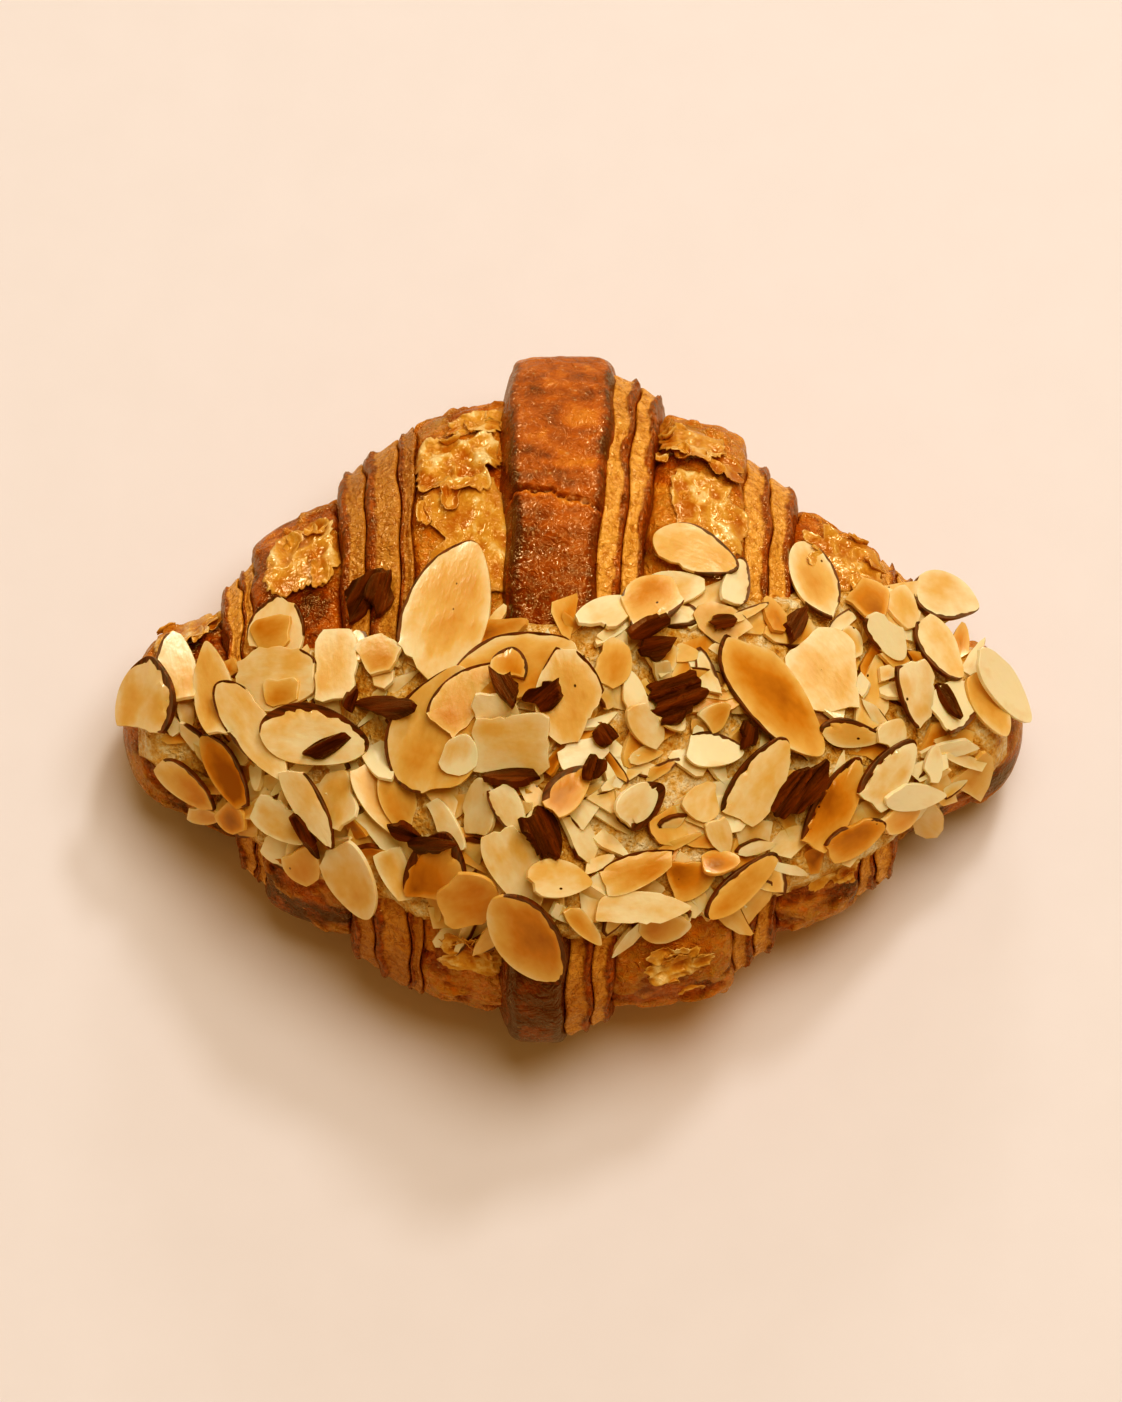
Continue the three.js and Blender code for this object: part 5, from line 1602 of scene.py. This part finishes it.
class CROISSANT_OT_almonds(bpy.types.Operator):
    """Strew the flaked almonds and the torn skins over the cream"""

    bl_idname = "croissant.almonds"
    bl_label = "Strew almonds"

    def execute(self, context):
        scene = context.scene
        sizes = scene.croissant_topping
        topping = Topping(Roll(scene.croissant_roll), sizes)
        under = self.lay_broken(topping, sizes)
        marks = self.lay_landmarks(topping, sizes)
        thick = mm(sizes.slice_thickness)
        self.build_flakes(scene, "almond_flakes_under", under, thick, False, Draws(UNDER_SEED))
        self.build_flakes(scene, "almond_flakes", marks, thick, True, Draws(FLAKE_SEED))
        self.build_skins(scene, topping, Draws(SKIN_SEED))
        return {"FINISHED"}

    def lay_broken(self, topping, sizes):
        """Presses the broken flakes and shards into the cream, fewer where a flake will lie over them."""
        draw = Draws(sizes.seed)
        marks = [flake_of(*row) for row in LANDMARK_FLAKES]
        broken = broken_flakes(draw, sizes.broken_count, **BROKEN_FLAKES)
        shards = broken_flakes(draw, sizes.shard_count, **SHARDS)
        under = []
        for flake, steep in [(f, BROKEN_TILT) for f in broken] + [(f, SHARD_TILT) for f in shards]:
            above = [m for m in marks if on_flake(m, *flake_plane(m, flake["across"], flake["up"]))]
            if len(above) < 2 and draw() < (KEPT_UNDER if above else 1):
                tilt = (draw(-LONG_TILT, LONG_TILT), draw(-steep, steep))
                topping.rest(flake, tilt, mm(sizes.broken_sink), mm(sizes.broken_height))
                under.append(flake)
        return under

    def lay_landmarks(self, topping, sizes):
        """Lets the flakes that stand out down on the pile, and chips their edges."""
        draw = Draws(sizes.seed + 1)
        marks = [flake_of(*row) for row in LANDMARK_FLAKES]
        for flake in marks:
            jitter = TILT_JITTER * min(1, LEVEL_LENGTH / flake["length"])
            tilt = (draw(-jitter, jitter), draw(-jitter, jitter))
            topping.rest(flake, tilt, mm(sizes.flake_sink), mm(sizes.pile_height))
            chips = 2 if flake["skin_wide"] == 0 else int(flake["skin_wide"] < 0.5)
            chipped = random_cuts(draw, chips, flake["length"], flake["width"], 0.8, 0.97)
            flake["cuts"] += [(math.radians(way), reach) for way, reach in chipped]
        return marks

    def build_flakes(self, scene, name, flakes, thick, fine, draw):
        """Joins some flakes to one piece."""
        pieces = Pieces("skin", "toast", "tone", "grain_u", "grain_v")
        for flake in flakes:
            add_flake(pieces, flake, draw, thick, fine)
        almonds = pieces_object(name, pieces)
        select_only(almonds)
        bpy.ops.object.shade_smooth_by_angle(angle=FLAKE_CREASE)
        finish_piece(almonds, almond_material(scene.croissant_almond), "almond", "almond_topping")

    def build_skins(self, scene, topping, draw):
        """Lets the torn skins down on the flakes and joins them to one piece."""
        pieces = Pieces("tone", "fold", "grain_u", "grain_v")
        for row in SKIN_PIECES:
            piece = flake_of(*row, 0)
            piece["thick"] = SKIN_THICKNESS
            tilt = (draw(-SKIN_TILT, SKIN_TILT), draw(-SKIN_TILT, SKIN_TILT))
            topping.rest(piece, tilt, SKIN_SINK, SKIN_CEILING)
            add_skin_piece(pieces, piece, draw)
        skins = pieces_object("almond_skins", pieces)
        select_only(skins)
        bpy.ops.object.shade_smooth_by_angle(angle=SKIN_CREASE)
        finish_piece(skins, skin_material(scene.croissant_almond), "almond", "almond_topping")


def aim(obj, target):
    """Turns a light or a camera to a point."""
    obj.rotation_euler = (Vector(target) - obj.location).to_track_quat("-Z", "Y").to_euler()


def area_light(name, place, size, power, shine_only, rgb):
    """A round soft light aimed at the croissant, or one that is seen only as a shine on glossy surfaces."""
    bpy.ops.object.light_add(type="AREA", location=place)
    light = bpy.context.object
    light.name = name
    light.data.shape = "DISK"
    light.data.size = size
    light.data.energy = power
    light.data.color = rgb
    light.visible_diffuse = not shine_only
    aim(light, LIGHT_TARGET)


class CROISSANT_OT_stage(bpy.types.Operator):
    """Set the pale floor, the soft light, the warm look of the picture and the camera"""

    bl_idname = "croissant.stage"
    bl_label = "Set stage"

    def execute(self, context):
        scene = context.scene
        look = scene.croissant_stage
        self.lay_floor(look)
        for light in LIGHTS:
            area_light(*light, look.key)
        self.fill_world(scene, look)
        self.set_camera(scene, look)
        self.warm_shadows(scene.view_settings)
        return {"FINISHED"}

    def lay_floor(self, look):
        """A large plain floor under the croissant."""
        clear_selection()
        bpy.ops.mesh.primitive_plane_add(size=FLOOR_SIZE)
        floor = bpy.context.object
        floor.name = "floor"
        floor.data.materials.append(floor_material(look))
        floor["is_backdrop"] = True

    def fill_world(self, scene, look):
        """A weak warm light from all round."""
        world = bpy.data.worlds.new("studio")
        scene.world = world
        world.use_nodes = True
        background = world.node_tree.nodes["Background"]
        background.inputs["Color"].default_value = (*look.fill, 1.0)
        background.inputs["Strength"].default_value = FILL_STRENGTH

    def warm_shadows(self, view):
        """Lets green and blue fall off faster than red in the shade, as in the photograph."""
        view.view_transform = "Standard"
        view.use_curve_mapping = True
        for curve, powers in zip(view.curve_mapping.curves, WARM_POWERS):
            for level, power in zip(WARM_LEVELS, powers):
                curve.points.new(level, level**power)
        view.curve_mapping.update()

    def set_camera(self, scene, look):
        """A camera square to the slope, as in the photograph."""
        bpy.ops.object.camera_add()
        camera = bpy.context.object
        camera.name = "camera"
        target = from_slope(*CAMERA_TARGET) * MM
        camera.location = Vector(target + SLOPE_OUT * look.camera_distance)
        aim(camera, target)
        camera.data.sensor_width = SENSOR_WIDTH
        camera.data.lens = SENSOR_WIDTH * look.camera_distance / look.view_height
        camera.data.clip_start = CLIP_START
        scene.camera = camera


class CROISSANT_PT_panel(bpy.types.Panel):
    """Sizes, colours and the steps that build the croissant"""

    bl_idname = "CROISSANT_PT_panel"
    bl_label = "Almond croissant"
    bl_space_type = "VIEW_3D"
    bl_region_type = "UI"
    bl_category = "Croissant"

    def draw(self, context):
        """Lists the sizes and colours, then the steps."""
        layout = self.layout
        for name in GROUPS:
            box = layout.box()
            group = getattr(context.scene, name)
            for key in group.__annotations__:
                box.prop(group, key)
        for operator in STEPS:
            layout.operator(operator.bl_idname)


GROUPS = {
    "croissant_roll": RollSizes,
    "croissant_topping": ToppingSizes,
    "croissant_crust": CrustColours,
    "croissant_almond": AlmondColours,
    "croissant_stage": StageLook,
}
STEPS = (
    CROISSANT_OT_stage,
    CROISSANT_OT_crust,
    CROISSANT_OT_leaves,
    CROISSANT_OT_cream,
    CROISSANT_OT_almonds,
)
CLASSES = (*GROUPS.values(), *STEPS, CROISSANT_PT_panel)


def register():
    """Adds the classes and the groups of sizes and colours."""
    for cls in CLASSES:
        bpy.utils.register_class(cls)
    for name, group in GROUPS.items():
        setattr(bpy.types.Scene, name, bpy.props.PointerProperty(type=group))


def unregister():
    """Takes them away again."""
    for name in GROUPS:
        delattr(bpy.types.Scene, name)
    for cls in reversed(CLASSES):
        bpy.utils.unregister_class(cls)


def write_sizes():
    """Gathers the boxes of the solids and of the dressed part as plain lists of numbers."""
    boxes = {"cad": CAD_BOX, "visual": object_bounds()}
    plain = {name: [[float(v) for v in corner] for corner in box] for name, box in boxes.items()}


def main():
    """Registers the classes and builds the croissant step by step."""
    register()
    bpy.ops.croissant.stage()
    bpy.ops.croissant.crust()
    bpy.ops.croissant.leaves()
    bpy.ops.croissant.cream()
    bpy.ops.croissant.almonds()
    write_sizes()


if __name__ == "__main__":
    main()
